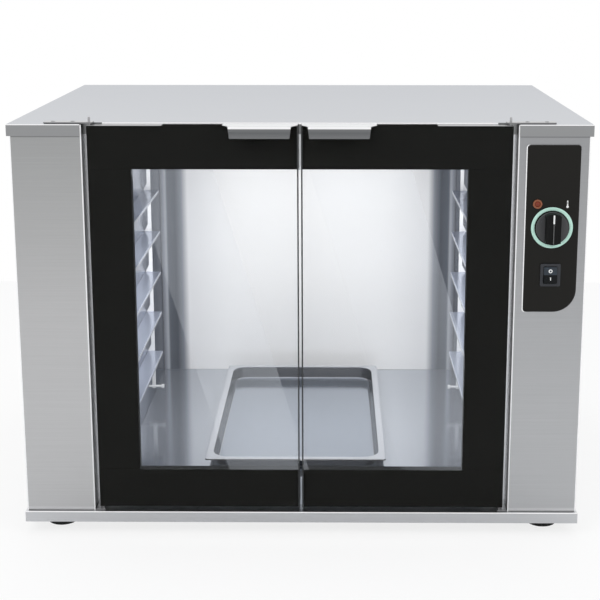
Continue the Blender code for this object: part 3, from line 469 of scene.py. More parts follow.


# The columns' tones paint a shadow line at the joint with the base, with a pale line just above it, and a
# shadow under the cover's flange at their top.
SHADE, PALE = (0.13, 0.13, 0.135), (0.60, 0.60, 0.61)
BASE_JOINT_SHADOW = ((0.0422, SHADE), (0.0444, SHADE), (0.0450, PALE), (0.0478, PALE))
COVER_FLANGE_SHADOW = ((0.7112, SHADE), (0.7310, SHADE))
# The columns are painted lighter towards the bottom, and the left one lighter than the right: painted light
# and shade.
LEFT_FRONT = ((0.0485, (0.505, 0.505, 0.51)), (0.40, (0.475, 0.475, 0.48)), (0.7098, (0.345, 0.35, 0.352)))
RIGHT_FRONT = ((0.0485, (0.47, 0.475, 0.485)), (0.7098, (0.32, 0.325, 0.335)))
_, left_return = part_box("left_column")
RETURN = left_return.x
# A painted shade darkens the columns' return faces beside the doors.
DIM = (0.10, 0.10, 0.105)
LEFT_RETURN_SHADE = ((RETURN - 0.010, FULL), (RETURN - 0.0008, FULL), (RETURN - 0.0004, DIM), (RETURN, DIM))
RIGHT_RETURN_SHADE = tuple((-x, tone) for x, tone in reversed(LEFT_RETURN_SHADE))
left_tones = ("Z", BASE_JOINT_SHADOW + LEFT_FRONT + COVER_FLANGE_SHADOW)
right_tones = ("Z", BASE_JOINT_SHADOW + RIGHT_FRONT + COVER_FLANGE_SHADOW)
# The columns' front edges also get a painted highlight on their bend.
left_steel = steel("left_steel", left_tones, 0.34, bend="X", across=("X", LEFT_RETURN_SHADE))
right_steel = steel("right_steel", right_tones, 0.34, bend="X", across=("X", RIGHT_RETURN_SHADE))
back_panel_steel = steel("back_panel_steel", plain((0.40, 0.405, 0.41)), 0.36)
# The cover's top is painted lighter than its sides and lighter towards the front, and its bends get a painted
# highlight.
cover_steel = steel(
    "cover_steel", plain((0.29, 0.295, 0.30)), 0.30,
    ("Y", ((-0.33, (0.515, 0.535, 0.57)), (0.33, (0.445, 0.465, 0.505)))), 0.015, bend="Z",
)
# The base's top is painted lighter than its sides, and its bends get a painted highlight.
base_steel = steel("base_steel", plain((0.595, 0.60, 0.615)), 0.32, plain((0.70, 0.71, 0.72)), bend="Z")
# The chamber's walls are painted near-white on their front flanges, as painted light, and darker towards the
# back, as painted shade; their level faces take one plain tone.
WALL_TONES = (
    (-0.3050, (0.92, 0.93, 0.95)), (-0.3035, (0.92, 0.93, 0.95)), (-0.3030, (0.22, 0.25, 0.32)),
    (-0.05, (0.22, 0.25, 0.32)), (0.20, (0.17, 0.19, 0.24)), (0.2945, (0.11, 0.12, 0.15)),
)
wall_steel = steel("wall_steel", ("Y", WALL_TONES), 0.24, plain((0.40, 0.44, 0.51)), 0.02, 0.95)
# The back wall is painted with a light middle, a dark band of painted shade near each corner and a painted
# highlight on the rounded corner.
CORNER_PAINTED_SHADE, CORNER_PAINTED_HIGHLIGHT = (0.070, 0.080, 0.10), (0.52, 0.55, 0.60)
HALF_BACK = (
    (0.00, (0.84, 0.845, 0.85)), (0.18, (0.97, 0.975, 0.98)), (0.264, (0.96, 0.965, 0.98)),
    (0.278, (0.24, 0.26, 0.30)), (0.292, CORNER_PAINTED_SHADE), (0.309, (0.11, 0.125, 0.155)), (0.313, CORNER_PAINTED_HIGHLIGHT),
    (0.318, (0.30, 0.32, 0.37)), (0.325, (0.16, 0.17, 0.20)),
)
BACK_TONES = tuple((-x, tone) for x, tone in reversed(HALF_BACK)) + HALF_BACK[1:]
# It is also painted darker towards the top.
BACK_PAINTED_FADE = (
    (0.10, FULL), (0.30, (0.88, 0.88, 0.88)), (0.48, (0.79, 0.79, 0.79)), (0.66, (0.655, 0.655, 0.655)),
)
back_steel = steel(
    "back_steel", ("X", BACK_TONES), 0.30, spread=0.003, metallic=0.20, bump=0.0, across=("Z", BACK_PAINTED_FADE)
)
floor_steel = steel("floor_steel", plain((0.50, 0.53, 0.58)), 0.12, plain((0.51, 0.54, 0.59)), 0.02, 0.75)
# The runners are painted dark on their upright faces and light on their level ones: painted shade and light.
rack_steel = steel("rack_steel", plain((0.22, 0.24, 0.29)), 0.20, plain((0.55, 0.60, 0.72)), 0.02, 0.55)
upright_steel = steel("upright_steel", plain((0.86, 0.87, 0.89)), 0.18, spread=0.02, metallic=0.25)
# A near-white steel that paints a highlight on the cover's front lip and on the pan's front edge.
highlight_steel = steel("highlight_steel", plain((0.97, 0.97, 0.98)), 0.25, spread=0.01)
# The door strips' level faces are painted a little lighter than their upright ones.
strip_steel = steel("strip_steel", plain((0.36, 0.365, 0.37)), 0.30, plain((0.44, 0.445, 0.45)), 0.02)
# The pan's upright faces are painted dark as shade, with a painted highlight along the bend at their foot.
# Its level faces have a mid-tone floor, the same painted highlight line, painted shade on the steps above it,
# and a lighter rim.
PAN_SIDE_TONES = (
    (0.0970, (0.80, 0.81, 0.84)), (0.1008, (0.80, 0.81, 0.84)), (0.1020, (0.05, 0.054, 0.065)),
    (0.1223, (0.07, 0.075, 0.085)),
)
PAN_LEVEL_TONES = (
    (0.0970, (0.31, 0.345, 0.40)), (0.1000, (0.31, 0.345, 0.40)), (0.1012, (0.75, 0.76, 0.80)),
    (0.1040, (0.10, 0.105, 0.12)), (0.1218, (0.08, 0.085, 0.10)), (0.12215, (0.56, 0.58, 0.62)),
    (0.1223, (0.56, 0.58, 0.62)),
)
pan_steel = steel("pan_steel", ("Z", PAN_SIDE_TONES), 0.14, ("Z", PAN_LEVEL_TONES), 0.02, 0.70)
# The handles' upright faces are dark in the middle, with a painted highlight along their top edge and a
# fainter one along their lower edge; their level faces are painted lighter.
HANDLE_TONES = (
    (0.7080, (0.42, 0.42, 0.43)), (0.7094, (0.36, 0.36, 0.365)), (0.7104, (0.185, 0.19, 0.195)),
    (0.7200, (0.135, 0.14, 0.145)), (0.7262, (0.185, 0.19, 0.195)), (0.7268, (0.88, 0.88, 0.89)),
    (0.7291, (0.92, 0.92, 0.93)),
)
handle_steel = steel("handle_steel", ("Z", HANDLE_TONES), 0.28, plain((0.80, 0.81, 0.82)), 0.01)
# The hinge plates' level faces are painted much lighter than their upright ones.
hinge_steel = steel("hinge_steel", plain((0.22, 0.22, 0.225)), 0.30, plain((0.52, 0.525, 0.53)), 0.02)
print("steels:", len(bpy.data.materials) - 1)

# %% [markdown]
# ## Black glass, plastics and rubber
# The doors' borders are printed black behind the glass, so they are smooth and very dark. The
# plastics have the fine grain that a spark-eroded mould leaves, and the rubber is duller and
# coarser. All take their grain from a noise on the object's own coordinates.

# %% Grained materials


def scaled(colour, factor):
    """A lighter or darker tone."""
    return tuple(min(1.0, c * factor) for c in colour)


def grained(
    name, colour, roughness, grain, spread=0.10, bump=0.15, depth=0.00005, metallic=0.0, coat=0.0, shine=0.5
):
    """A surface with a fine, even grain."""
    material, tree, output = new_material(name)
    where = add_node(tree, "TexCoord").outputs["Object"]
    noise = add_node(tree, "TexNoise", {"Vector": where, "Scale": grain, "Detail": 4.0}).outputs["Fac"]
    marks = ((NOISE_LOW, scaled(colour, 1 - spread)), (NOISE_HIGH, scaled(colour, 1 + spread)))
    rough = varied(tree, noise, max(0.02, roughness - 0.05), roughness + 0.05)
    shader = add_node(tree, "BsdfPrincipled", {
        "Base Color": ramp(tree, noise, marks), "Roughness": rough, "Metallic": metallic,
        "Coat Weight": coat, "Specular IOR Level": shine,
    })
    bumped(tree, shader, noise, bump, depth)
    tree.links.new(shader.outputs[0], output.inputs["Surface"])
    return material


border_black = grained("border_black", (0.0112, 0.0112, 0.0100), 0.60, 700.0, 0.03, 0.0, shine=0.0)
plate_black = grained("plate_black", (0.0055, 0.0050, 0.0038), 0.40, 900.0, bump=0.05, shine=0.2)
knob_black = grained("knob_black", (0.085, 0.085, 0.088), 0.45, 1400.0, shine=0.3)
grip_black = grained("grip_black", (0.007, 0.007, 0.007), 0.35, 1400.0, 0.10, 0.05, shine=0.10)
switch_black = grained("switch_black", (0.022, 0.024, 0.030), 0.30, 1200.0, shine=0.4)
# The rocker's upper half is painted a lighter bluish black, a painted highlight.
rocker_highlight_half = grained("rocker_highlight_half", (0.018, 0.028, 0.040), 0.15, 900.0, 0.10, 0.02, shine=0.4)
rocker_foot = grained("rocker_foot", (0.003, 0.004, 0.005), 0.12, 900.0, 0.10, 0.02, shine=0.15)
gland_black = grained("gland_black", (0.020, 0.020, 0.020), 0.48, 900.0)
rubber = grained("foot_rubber", (0.018, 0.018, 0.018), 0.78, 1600.0, 0.20, 0.35, 0.00012)
mint = grained("ring_mint", (0.56, 0.84, 0.73), 0.50, 1200.0, 0.03, 0.05, shine=0.3)
ring_shade = grained("ring_shade", (0.020, 0.045, 0.036), 0.60, 1200.0, 0.05, 0.05, shine=0.1)
print_white = grained("print_white", (0.86, 0.87, 0.86), 0.50, 900.0, 0.02, 0.03)
pointer_grey = grained("pointer_grey", (0.10, 0.10, 0.10), 0.35, 900.0, 0.05, 0.03)
amber_rim = grained("lamp_rim", (0.27, 0.085, 0.035), 0.30, 900.0, 0.12, 0.05)
amber_lens = grained("lamp_lens", (0.20, 0.030, 0.010), 0.20, 500.0, 0.15, 0.05, coat=0.15, shine=0.3)
heater_grey = grained("heater_grey", (0.20, 0.18, 0.17), 0.55, 500.0, 0.25, 0.2)
off_white = grained("terminal_off_white", (0.70, 0.68, 0.62), 0.55, 900.0, 0.05, 0.1)
zinc = grained("zinc_plate", (0.42, 0.42, 0.43), 0.42, 260.0, 0.18, 0.08, metallic=1.0)
print("grained materials ready")

# %% [markdown]
# ## The doors' glass
# Each pane is clear float glass. The photograph shows long slanting glares that stop at the black border.
# They are painted reflections, given as a white haze of a few per cent in slanting bands, in the window
# alone, which shows on the dark parts of the chamber and fades on the bright ones.

# %% Clear glass with slanting glares
rail_low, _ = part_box("left_door_top_rail")
_, sill_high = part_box("left_door_bottom_rail")
_, stile_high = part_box("left_door_stile")
WINDOW_HALF = -stile_high.x
WINDOW_LOW, WINDOW_HIGH = sill_high.z, rail_low.z
GLARE_LEAN = 0.30
WINDOW_HAZE = 0.02
BORDER_HAZE = 0.002
SEAM_EDGE = 0.0046
SEAM_COVER = 0.9
GLASS_TINT, SEAM_TINT = (0.86, 0.90, 0.96, 1), (0.025, 0.028, 0.030, 1)
# Bands of painted glare reflection: two places across the glare's direction and a strength at each.
SEAM_GLARE = (-0.090, 0.050, 0.06, 0.08)
CORNER_GLARE = (0.212, 0.385, 0.025, 0.08)


def glare_band(tree, across, low, high, first, last):
    """A band between two places across the glare's direction, with a strength at each of its edges."""
    over, under = math_node(tree, "GREATER_THAN", across, low), math_node(tree, "LESS_THAN", across, high)
    strength = ranged(tree, across, low, high, first, last)
    return math_node(tree, "MULTIPLY", math_node(tree, "MULTIPLY", over, under), strength)


def clear_glass(name, *bands):
    """A clear pane with painted glare reflections, as a white film in slanting bands, and dark ground edges.
    A band is two places and two strengths.
    """
    material, tree, output = new_material(name)
    x, z = coordinate(tree, "Object", "X"), coordinate(tree, "Object", "Z")
    across = math_node(tree, "ADD", x, math_node(tree, "MULTIPLY", z, GLARE_LEAN))
    haze_and_glare = WINDOW_HAZE
    for band in bands:
        haze_and_glare = math_node(tree, "ADD", glare_band(tree, across, *band), haze_and_glare)
    aside = math_node(tree, "ABSOLUTE", x)
    window = math_node(tree, "LESS_THAN", aside, WINDOW_HALF)
    for test, edge in (("LESS_THAN", WINDOW_HIGH), ("GREATER_THAN", WINDOW_LOW)):
        window = math_node(tree, "MULTIPLY", window, math_node(tree, test, z, edge))
    haze_and_glare = math_node(tree, "ADD", math_node(tree, "MULTIPLY", window, haze_and_glare), BORDER_HAZE)
    seam = math_node(tree, "LESS_THAN", aside, SEAM_EDGE)
    shader = add_node(tree, "BsdfPrincipled", {
        "Base Color": blended(tree, seam, GLASS_TINT, SEAM_TINT), "Roughness": 0.04,
        "Alpha": math_node(tree, "MAXIMUM", haze_and_glare, math_node(tree, "MULTIPLY", seam, SEAM_COVER)),
    })
    tree.links.new(shader.outputs[0], output.inputs["Surface"])
    return material


left_glass = clear_glass("left_glass", SEAM_GLARE)
right_glass = clear_glass("right_glass", SEAM_GLARE, CORNER_GLARE)
print("window", round(2 * WINDOW_HALF, 3), "m wide,", round(WINDOW_HIGH - WINDOW_LOW, 3), "m high")

# %% [markdown]
# ## Finishes for the solid parts
# Most of the cabinet is folded sheet, and the frame already has its true bends. Those parts keep
# their shape and only take a finish.

# %% Give every solid part its finish


def paint(name, material):
    """Puts one material on a solid part."""
    part = nodes[name]
    part.data.materials.clear()
    part.data.materials.append(material)


finishes = {
    left_steel: ["left_column"],
    right_steel: ["right_column"],
    back_panel_steel: ["back_panel"],
    cover_steel: ["top_cover"],
    base_steel: ["base_tray"],
    wall_steel: ["chamber_left_wall", "chamber_right_wall", "chamber_ceiling"],
    back_steel: ["chamber_back_wall"],
    floor_steel: ["chamber_floor"],
    left_glass: ["left_door_glass"],
    right_glass: ["right_door_glass"],
    heater_grey: ["heating_element"],
    off_white: ["terminal_block"],
    zinc: ["thermostat_body", "thermostat_shaft", "thermostat_bulb"],
    plate_black: ["control_plate", "left_catch_magnet", "right_catch_magnet"],
    gland_black: ["cable_gland"],
    knob_black: ["temperature_knob"],
    mint: ["dial_ring"],
    amber_rim: ["indicator_lamp"],
    switch_black: ["switch_housing"],
    rocker_foot: ["switch_rocker"],
}
for material, names in finishes.items():
    for name in names:
        paint(name, material)
for name in nodes:
    if name.startswith("foot_"):
        paint(name, rubber)
    elif name.endswith(("_rail", "_stile")):
        paint(name, border_black)
    elif "_hinge_plate" in name or name.endswith("_top_pin"):
        paint(name, hinge_steel)
    elif name.endswith("_handle"):
        paint(name, handle_steel)
    elif "_runner_" in name:
        paint(name, rack_steel)
    elif "_rack_" in name:
        paint(name, upright_steel)
print("parts with a finish:", sum(1 for part in nodes.values() if part.data.materials))

# %% [markdown]
# ## Handing a piece over
# A finished piece gets its material, is shaded smooth up to its sharp edges, rides on the body
# that carries it, and may stand for a plain solid part, which is then hidden.

# %% Finish a piece


def hand_over(piece, body, material, *replaced, smooth=30, even=False):
    """Finishes a new piece and ties it to its body. Even normals keep its large faces flat."""
    piece.data.materials.clear()
    piece.data.materials.append(material)
    choose(piece)
    bpy.ops.object.shade_smooth_by_angle(angle=math.radians(smooth))
    if even:
        apply_modifier(piece, "WEIGHTED_NORMAL", keep_sharp=True)
    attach(piece, body)
    if replaced:
        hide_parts(*replaced)
    return piece


def bare_copy(original, name):
    """A copy with a mesh of its own, which rides on nothing yet."""
    choose(original)
    bpy.ops.object.duplicate()
    piece = bpy.context.active_object
    piece.name = name
    piece.data = original.data.copy()
    piece.data.name = name
    for key in [key for key in piece.keys() if key.startswith("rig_")]:
        del piece[key]
    return piece


def copied(original, name, move=(0, 0, 0), mirror=False):
    """A copy that is moved, or mirrored to the cabinet's other side."""
    piece = bare_copy(original, name)
    choose(piece)
    bpy.ops.transform.translate(value=move)
    if mirror:
        piece.scale = (-1, 1, 1)
    bpy.ops.object.transform_apply(location=True, rotation=True, scale=True)
    if mirror:
        edit(piece)
        bpy.ops.mesh.normals_make_consistent(inside=False)
        leave(piece)
    return piece


def soften(name, width, material, segments=2):
    """A copy of a solid part with its sharp edges rounded, which stands for the part."""
    part = nodes[name]
    piece = bare_copy(part, f"{name}_eased")
    edit(piece, "VERT")
    bpy.ops.mesh.remove_doubles(threshold=0.000001)
    bpy.ops.mesh.dissolve_limited(angle_limit=math.radians(0.5))
    leave(piece)
    ease(piece, width, segments)
    return hand_over(piece, part["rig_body"], material, name, even=True)


# %% [markdown]
# ## Edges that catch the light
# Nothing that is cut from sheet has a knife edge. The handles and the lower hinge plates get a small
# rounding, and the handles' material adds painted highlights along their edges; together they draw the thin
# bright lines that the photograph shows.

# %% Round the edges of the handles and the lower hinge plates
for side in ("left", "right"):
    soften(f"{side}_door_handle", 0.35 * MM, handle_steel)
    soften(f"{side}_bottom_hinge_plate", 0.4 * MM, hinge_steel)
print("eased handles and hinge plates")

# %% [markdown]
# ## Strips on the doors' top edges
# The hinge side of each door's top edge has a bright steel strip, as long as the root of the
# handle at the other side. The pin stands through a hole in it.

# %% Model the top strips
STRIP_LENGTH = 0.1265
STRIP_SHEET = 0.8 * MM
STRIP_INSET = 0.6 * MM
PIN_GAP = 0.4 * MM


def top_strip():
    """The left door's strip, with the hole for the pin."""
    glass_low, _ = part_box("left_door_glass")
    _, edge_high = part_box("left_door_top_rail")
    strip = slab(
        "left_door_top_strip",
        (glass_low.x + STRIP_INSET, glass_low.y + STRIP_INSET, edge_high.z),
        (glass_low.x + STRIP_LENGTH, edge_high.y - STRIP_INSET, edge_high.z + STRIP_SHEET),
    )
    pin_low, pin_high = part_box("left_top_pin")
    spot = (pin_low + pin_high) / 2
    radius = (pin_high.x - pin_low.x) / 2 + PIN_GAP
    hole = barrel("hole", (spot.x, spot.y, edge_high.z), radius, 0.02, "Z", 32)
    combine(strip, hole, "DIFFERENCE")
    return ease(strip, 0.15 * MM, 1, 50)


strip = top_strip()
for side, piece in (("left", strip), ("right", copied(strip, "right_door_top_strip", mirror=True))):
    hand_over(piece, f"{side}_door", strip_steel)

# %% [markdown]
# Behind the doors' top edges the cover's cut edge ends in a narrow lip. A wide chamfer on its front edge
# looks up at the bright room, and the lip's near-white steel is a painted highlight; together they draw the
# white line that the photograph shows there.

# %% Model the cover's front lip
LIP_SHEET = 0.6 * MM
LIP_REACH = 1.9 * MM
LIP_CHAMFER = 1.3 * MM
LIP_HALF = 0.333
DOOR_GAP = 2.5 * MM


def front_lip():
    """A narrow bar in the gap behind the doors, above their strips."""
    _, rail_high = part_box("left_door_top_rail")
    _, cover_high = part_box("top_cover")
    notch = rail_high.y + DOOR_GAP
    front = notch - LIP_REACH
    low = (-LIP_HALF, front, rail_high.z + LIP_SHEET)
    lip = slab("cover_front_lip", low, (LIP_HALF, notch, cover_high.z - 0.1 * MM))
    top = cover_high.z - 0.2 * MM
    front_edge = along(0, lambda middle: middle.y < front + 0.1 * MM and middle.z > top)
    return round_edges(lip, front_edge, LIP_CHAMFER, 1)


# The lip's near-white steel is a painted highlight.
lip = hand_over(front_lip(), "cabinet", highlight_steel, smooth=10)
print("top strips and lip ready")

# %% [markdown]
# ## The control plate
# The plate is a black moulding with a chamfered edge. Three of its corners are tight and the lower
# outer one is wide, so the upright edges are rounded one by one before the front edge is chamfered.

# %% Model the control plate
plate_low, plate_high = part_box("control_plate")
TIGHT_CORNER = 5 * MM
WIDE_CORNER = 39 * MM
PLATE_CHAMFER = 1.1 * MM
SHAFT_HOLE = 4 * MM
LAMP_HOLE = 6.3 * MM
SWITCH_HOLE_WIDTH, SWITCH_HOLE_HEIGHT = 28.8 * MM, 33.8 * MM


def plate_outline(name, left, rest, front, back):
    """The plate's outline, made wider, as a slab with three tight corners and a wide one."""
    low = Vector((plate_low.x - left, front, plate_low.z - rest))
    high = Vector((plate_high.x + rest, back, plate_high.z + rest))
    shape = slab(name, low, high)
    wide = lambda middle: middle.x > high.x - MM and middle.z < low.z + MM
    round_edges(shape, along(1, wide), WIDE_CORNER + rest, 20)
    tight = lambda middle: not (middle.x > low.x + 10 * MM and middle.z < low.z + WIDE_CORNER + 2 * MM)
    return round_edges(shape, along(1, tight), TIGHT_CORNER, 8)


plate = plate_outline("control_plate_moulding", 0, 0, plate_low.y, plate_high.y)
round_edges(plate, level_at(1, plate_low.y), PLATE_CHAMFER, 3)
knob_low, knob_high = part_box("temperature_knob")
lamp_low, lamp_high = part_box("indicator_lamp")
switch_low, switch_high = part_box("switch_housing")
knob_centre = (knob_low + knob_high) / 2
lamp_centre = (lamp_low + lamp_high) / 2
switch_centre = (switch_low + switch_high) / 2
plate_depth = plate_high.y - plate_low.y
for spot, radius in ((knob_centre, SHAFT_HOLE), (lamp_centre, LAMP_HOLE)):
    middle = Vector((spot.x, plate_low.y + plate_depth / 2, spot.z))
    combine(plate, barrel("hole", middle, radius, 3 * plate_depth), "DIFFERENCE")
opening = Vector((SWITCH_HOLE_WIDTH / 2, 2 * plate_depth, SWITCH_HOLE_HEIGHT / 2))
switch_spot = Vector((switch_centre.x, plate_low.y, switch_centre.z))
combine(plate, slab("hole", switch_spot - opening, switch_spot + opening), "DIFFERENCE")
hand_over(plate, "cabinet", plate_black, "control_plate")
print("control plate:", len(plate.data.polygons), "faces")

# %% [markdown]
# The plate lies in a shallow pressed surround. Its edge shows as a line to the left of the plate and as a
# thinner one below it, so a slightly larger outline is cut out by the plate's own. Its left part is painted
# near-white as a highlight, and the rest a mid-grey.

# %% Model the bright surround
SURROUND_LEFT = 1.8 * MM
SURROUND_REST = 0.5 * MM


def plate_surround():
    """The frame round the plate; its material paints a highlight on its left part."""
    front = plate_low.y + 0.5 * MM
    frame_piece = plate_outline("plate_surround", SURROUND_LEFT, SURROUND_REST, front, plate_high.y)
    inner = plate_outline("hole", 0.1 * MM, 0.1 * MM, front - 5 * MM, plate_high.y + 5 * MM)
    return combine(frame_piece, inner, "DIFFERENCE")


# The surround's left part is a painted highlight, and the rest a mid-grey.
SURROUND_HIGHLIGHT_TONES = (
    (plate_low.x - SURROUND_LEFT, (0.95, 0.95, 0.96)), (plate_low.x + 2 * MM, (0.95, 0.95, 0.96)),
    (plate_low.x + 6 * MM, (0.34, 0.34, 0.35)), (plate_high.x, (0.34, 0.34, 0.35)),
)
surround_steel = steel("surround_steel", ("X", SURROUND_HIGHLIGHT_TONES), 0.25, spread=0.01, metallic=0.6)
surround = hand_over(plate_surround(), "cabinet", surround_steel)
print("surround:", len(surround.data.polygons), "faces")

# %% [markdown]
# ## The dial's ring and the knob
# The ring is a thin pale green washer. The knob is a shallow drum with a grip across its face: the
# grip is a block whose middle strip stands proud, trimmed round by the drum's own outline. A white
# line at the top of the grip points at the setting, and a grey one runs on below it.

# %% Model the ring
ring_low, ring_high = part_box("dial_ring")
RING_WIDTH = 5.8 * MM


def dial_ring():
    """A washer with eased edges."""
    centre = (ring_low + ring_high) / 2
    radius = (ring_high.x - ring_low.x) / 2
    depth = ring_high.y - ring_low.y
    ring = barrel("dial_ring_moulded", centre, radius, depth, sides=96)
    combine(ring, barrel("hole", centre, radius - RING_WIDTH, 3 * depth, sides=96), "DIFFERENCE")
    return ease(ring, 0.25 * MM, 2)


ring = hand_over(dial_ring(), "cabinet", mint, "dial_ring")
# The ring's sides and inner wall take a dark green, a painted shade; only its front face is mint.
ring.data.materials.append(ring_shade)
for face in ring.data.polygons:
    face.material_index = 0 if face.normal.y < -0.5 else 1
print("ring", round(2000 * (ring_high.x - ring_low.x) / 2, 1), "mm across")

# %% [markdown]
# The knob itself starts as a cylinder whose face is inset and pushed back, which leaves a rim. The
# grip is a block cut along its length by four planes, so that two strips can be pushed in beside
# the middle one. Cutting it with the drum's outline at the end rounds both of its ends at once.

# %% Model the knob
KNOB_SKIRT = 6 * MM
GRIP_WIDTH = 25 * MM
KNOB_RIM = 1.2 * MM
RIDGE_SHARE, EDGE_SHARE = 0.30, 0.62
HOLLOW_DEPTH, EDGE_DEPTH = 2.4 * MM, 1.0 * MM
knob_radius = (knob_high.x - knob_low.x) / 2


def knob_skirt():
    """The drum, with a dished face and a rounded rim."""
    front = knob_high.y - KNOB_SKIRT
    middle = Vector((knob_centre.x, front + KNOB_SKIRT / 2, knob_centre.z))
    drum = barrel("knob_drum", middle, knob_radius, KNOB_SKIRT, sides=96)
    edit(drum, "FACE", facing((0, -1, 0)))
    bpy.ops.mesh.inset(thickness=2.2 * MM)
    bpy.ops.transform.translate(value=(0, 1.2 * MM, 0))
    leave(drum)
    return ease(drum, 0.5 * MM, 3)


def knob_grip():
    """The grip, with two hollows beside its raised middle."""
    half = GRIP_WIDTH / 2
    low = Vector((knob_centre.x - half, knob_low.y, knob_low.z))
    high = Vector((knob_centre.x + half, knob_high.y - KNOB_SKIRT / 2, knob_high.z))
    grip = slab("knob_grip", low, high)
    for share in (-EDGE_SHARE, -RIDGE_SHARE, RIDGE_SHARE, EDGE_SHARE):
        slice_at(grip, (knob_centre.x + share * half, 0, 0), (1, 0, 0))
    aside = lambda face: abs(face.calc_center_median().x - knob_centre.x) / half
    hollow = lambda face: face.normal.y < -0.9 and RIDGE_SHARE < aside(face) < EDGE_SHARE
    outer = lambda face: face.normal.y < -0.5 and aside(face) > EDGE_SHARE
    for test, depth in ((hollow, HOLLOW_DEPTH), (outer, EDGE_DEPTH)):
        edit(grip, "FACE", test)
        bpy.ops.transform.translate(value=(0, depth, 0))
        leave(grip)
    ease(grip, 0.5 * MM, 2)
    depth = 2 * (knob_high.y - knob_low.y)
    outline = barrel("outline", knob_centre, knob_radius - KNOB_RIM, depth, sides=96)
    combine(grip, outline, "INTERSECT")
    return ease(grip, 0.3 * MM, 2, 50)


hand_over(knob_skirt(), "knob", knob_black, "temperature_knob")
grip = hand_over(knob_grip(), "knob", grip_black)

# %% [markdown]
# The pointer is inlaid in the grip. A thin block with its four upright edges rounded serves for it
# and for every other printed stroke, so it is a function of its own.

# %% Draw the knob's pointer
POINTER_WIDTH = 2.6 * MM
POINTER_LENGTH = 15 * MM


def stroke(name, centre, width, height, front, thickness=0.25 * MM):
    """A printed or inlaid line on a front, with rounded corners."""
    low = Vector((centre.x - width / 2, front, centre.z - height / 2))
    high = Vector((centre.x + width / 2, front + thickness, centre.z + height / 2))
    return round_edges(slab(name, low, high), along(1), min(width, height) * 0.3, 4)


grip_top = knob_centre.z + knob_radius - KNOB_RIM
pointer_spot = Vector((knob_centre.x, 0, grip_top - 1 * MM - POINTER_LENGTH / 2))
pointer = stroke("knob_pointer", pointer_spot, POINTER_WIDTH, POINTER_LENGTH, knob_low.y)
pointer_rest = 2 * knob_radius - 2 * KNOB_RIM - POINTER_LENGTH - 4 * MM
rest_spot = Vector((knob_centre.x, 0, grip_top - 2 * MM - POINTER_LENGTH - pointer_rest / 2))
grey_line = stroke("knob_grey_line", rest_spot, 1.4 * MM, pointer_rest, knob_low.y)
hand_over(pointer, "knob", print_white)
hand_over(grey_line, "knob", pointer_grey)
print("knob radius", round(knob_radius * 1000, 1), "mm")

# %% [markdown]
# ## The lamp
# The lamp is a domed amber lens in a coloured rim. The rim is a turned ring, and the lens is half
# a sphere that is flattened into it.

# %% Model the lamp
LAMP_RADIUS = (lamp_high.x - lamp_low.x) / 2
LENS_RADIUS = 5.0 * MM


def lamp_rim():
    """A ring with a seat for the lens."""
    depth = 2.4 * MM
    middle = Vector((lamp_centre.x, plate_low.y - 0.3 * MM - depth / 2, lamp_centre.z))
    rim = barrel("lamp_rim", middle, LAMP_RADIUS, depth)
    edit(rim, "FACE", facing((0, -1, 0)))
    bpy.ops.mesh.inset(thickness=LAMP_RADIUS - LENS_RADIUS)
    bpy.ops.mesh.extrude_region_move(TRANSFORM_OT_translate={"value": (0, 1.2 * MM, 0)})
    leave(rim)
    return ease(rim, 0.5 * MM, 3)


def lamp_lens():
    """The front half of a flattened sphere."""
    centre = Vector((lamp_centre.x, plate_low.y - 1.0 * MM, lamp_centre.z))
    bpy.ops.object.select_all(action="DESELECT")
    bpy.ops.mesh.primitive_uv_sphere_add(
        segments=48, ring_count=24, radius=LENS_RADIUS - 0.2 * MM, location=centre,
        rotation=(math.pi / 2, 0, 0),
    )
    bpy.context.active_object.scale = (1, 1, 0.55)
    return slice_at(settle("lamp_lens"), centre, (0, 1, 0), use_fill=True, clear_outer=True)


hand_over(lamp_rim(), "cabinet", amber_rim, "indicator_lamp")
lens_piece = hand_over(lamp_lens(), "cabinet", amber_lens)

# %% [markdown]
# ## The thermometer sign
# A small white thermometer beside the dial says what it sets: a bulb, a tube and a scale mark, all
# printed. It is built from a disc and rounded strokes, a tenth of a millimetre thick.

# %% Print the thermometer sign
SIGN_X_SHARE = 0.78
SIGN_RISE = 0.3 * MM
SIGN_HEIGHT = 12.8 * MM
BULB_RADIUS = 2.1 * MM


def thermometer_sign():
    """A disc and a tube, with a slit for the scale mark."""
    x = plate_low.x + SIGN_X_SHARE * (plate_high.x - plate_low.x)
    low = lamp_centre.z - SIGN_HEIGHT / 2 - SIGN_RISE
    front = plate_low.y - 0.1 * MM
    bulb = barrel("thermometer_sign", Vector((x, front, low + BULB_RADIUS)), BULB_RADIUS, 0.2 * MM, sides=32)
    height = SIGN_HEIGHT - BULB_RADIUS
    middle = Vector((x, 0, low + BULB_RADIUS + height / 2))
    combine(bulb, stroke("tube", middle, 2.0 * MM, height, front - 0.1 * MM), "UNION")
    middle.z = low + 2.1 * BULB_RADIUS + 4 * MM
    slit = stroke("slit", middle, 0.7 * MM, 4.6 * MM, front - 1 * MM, 3 * MM)
    return combine(bulb, slit, "DIFFERENCE")


hand_over(thermometer_sign(), "cabinet", print_white)

# %% [markdown]
# ## The main switch
# The housing is a frame with rounded corners and a deep well. The rocker tips in the well: it is a
# block with a valley across its middle, standing on its upper half because the switch is off. Its
# two signs, a ring and a stroke, are the usual ones for off and on.

# %% Model the switch's housing
rocker_low, rocker_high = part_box("switch_rocker")
rocker_joint = next(j for j in frame["joints"] if j["child"] == "rocker")
pivot = Vector(rocker_joint["pos_m"])
ROCKER_HALF_WIDTH = (rocker_high.x - rocker_low.x) / 2
ROCKER_HALF_HEIGHT = 13.8 * MM
WELL_GAP = 1.2 * MM


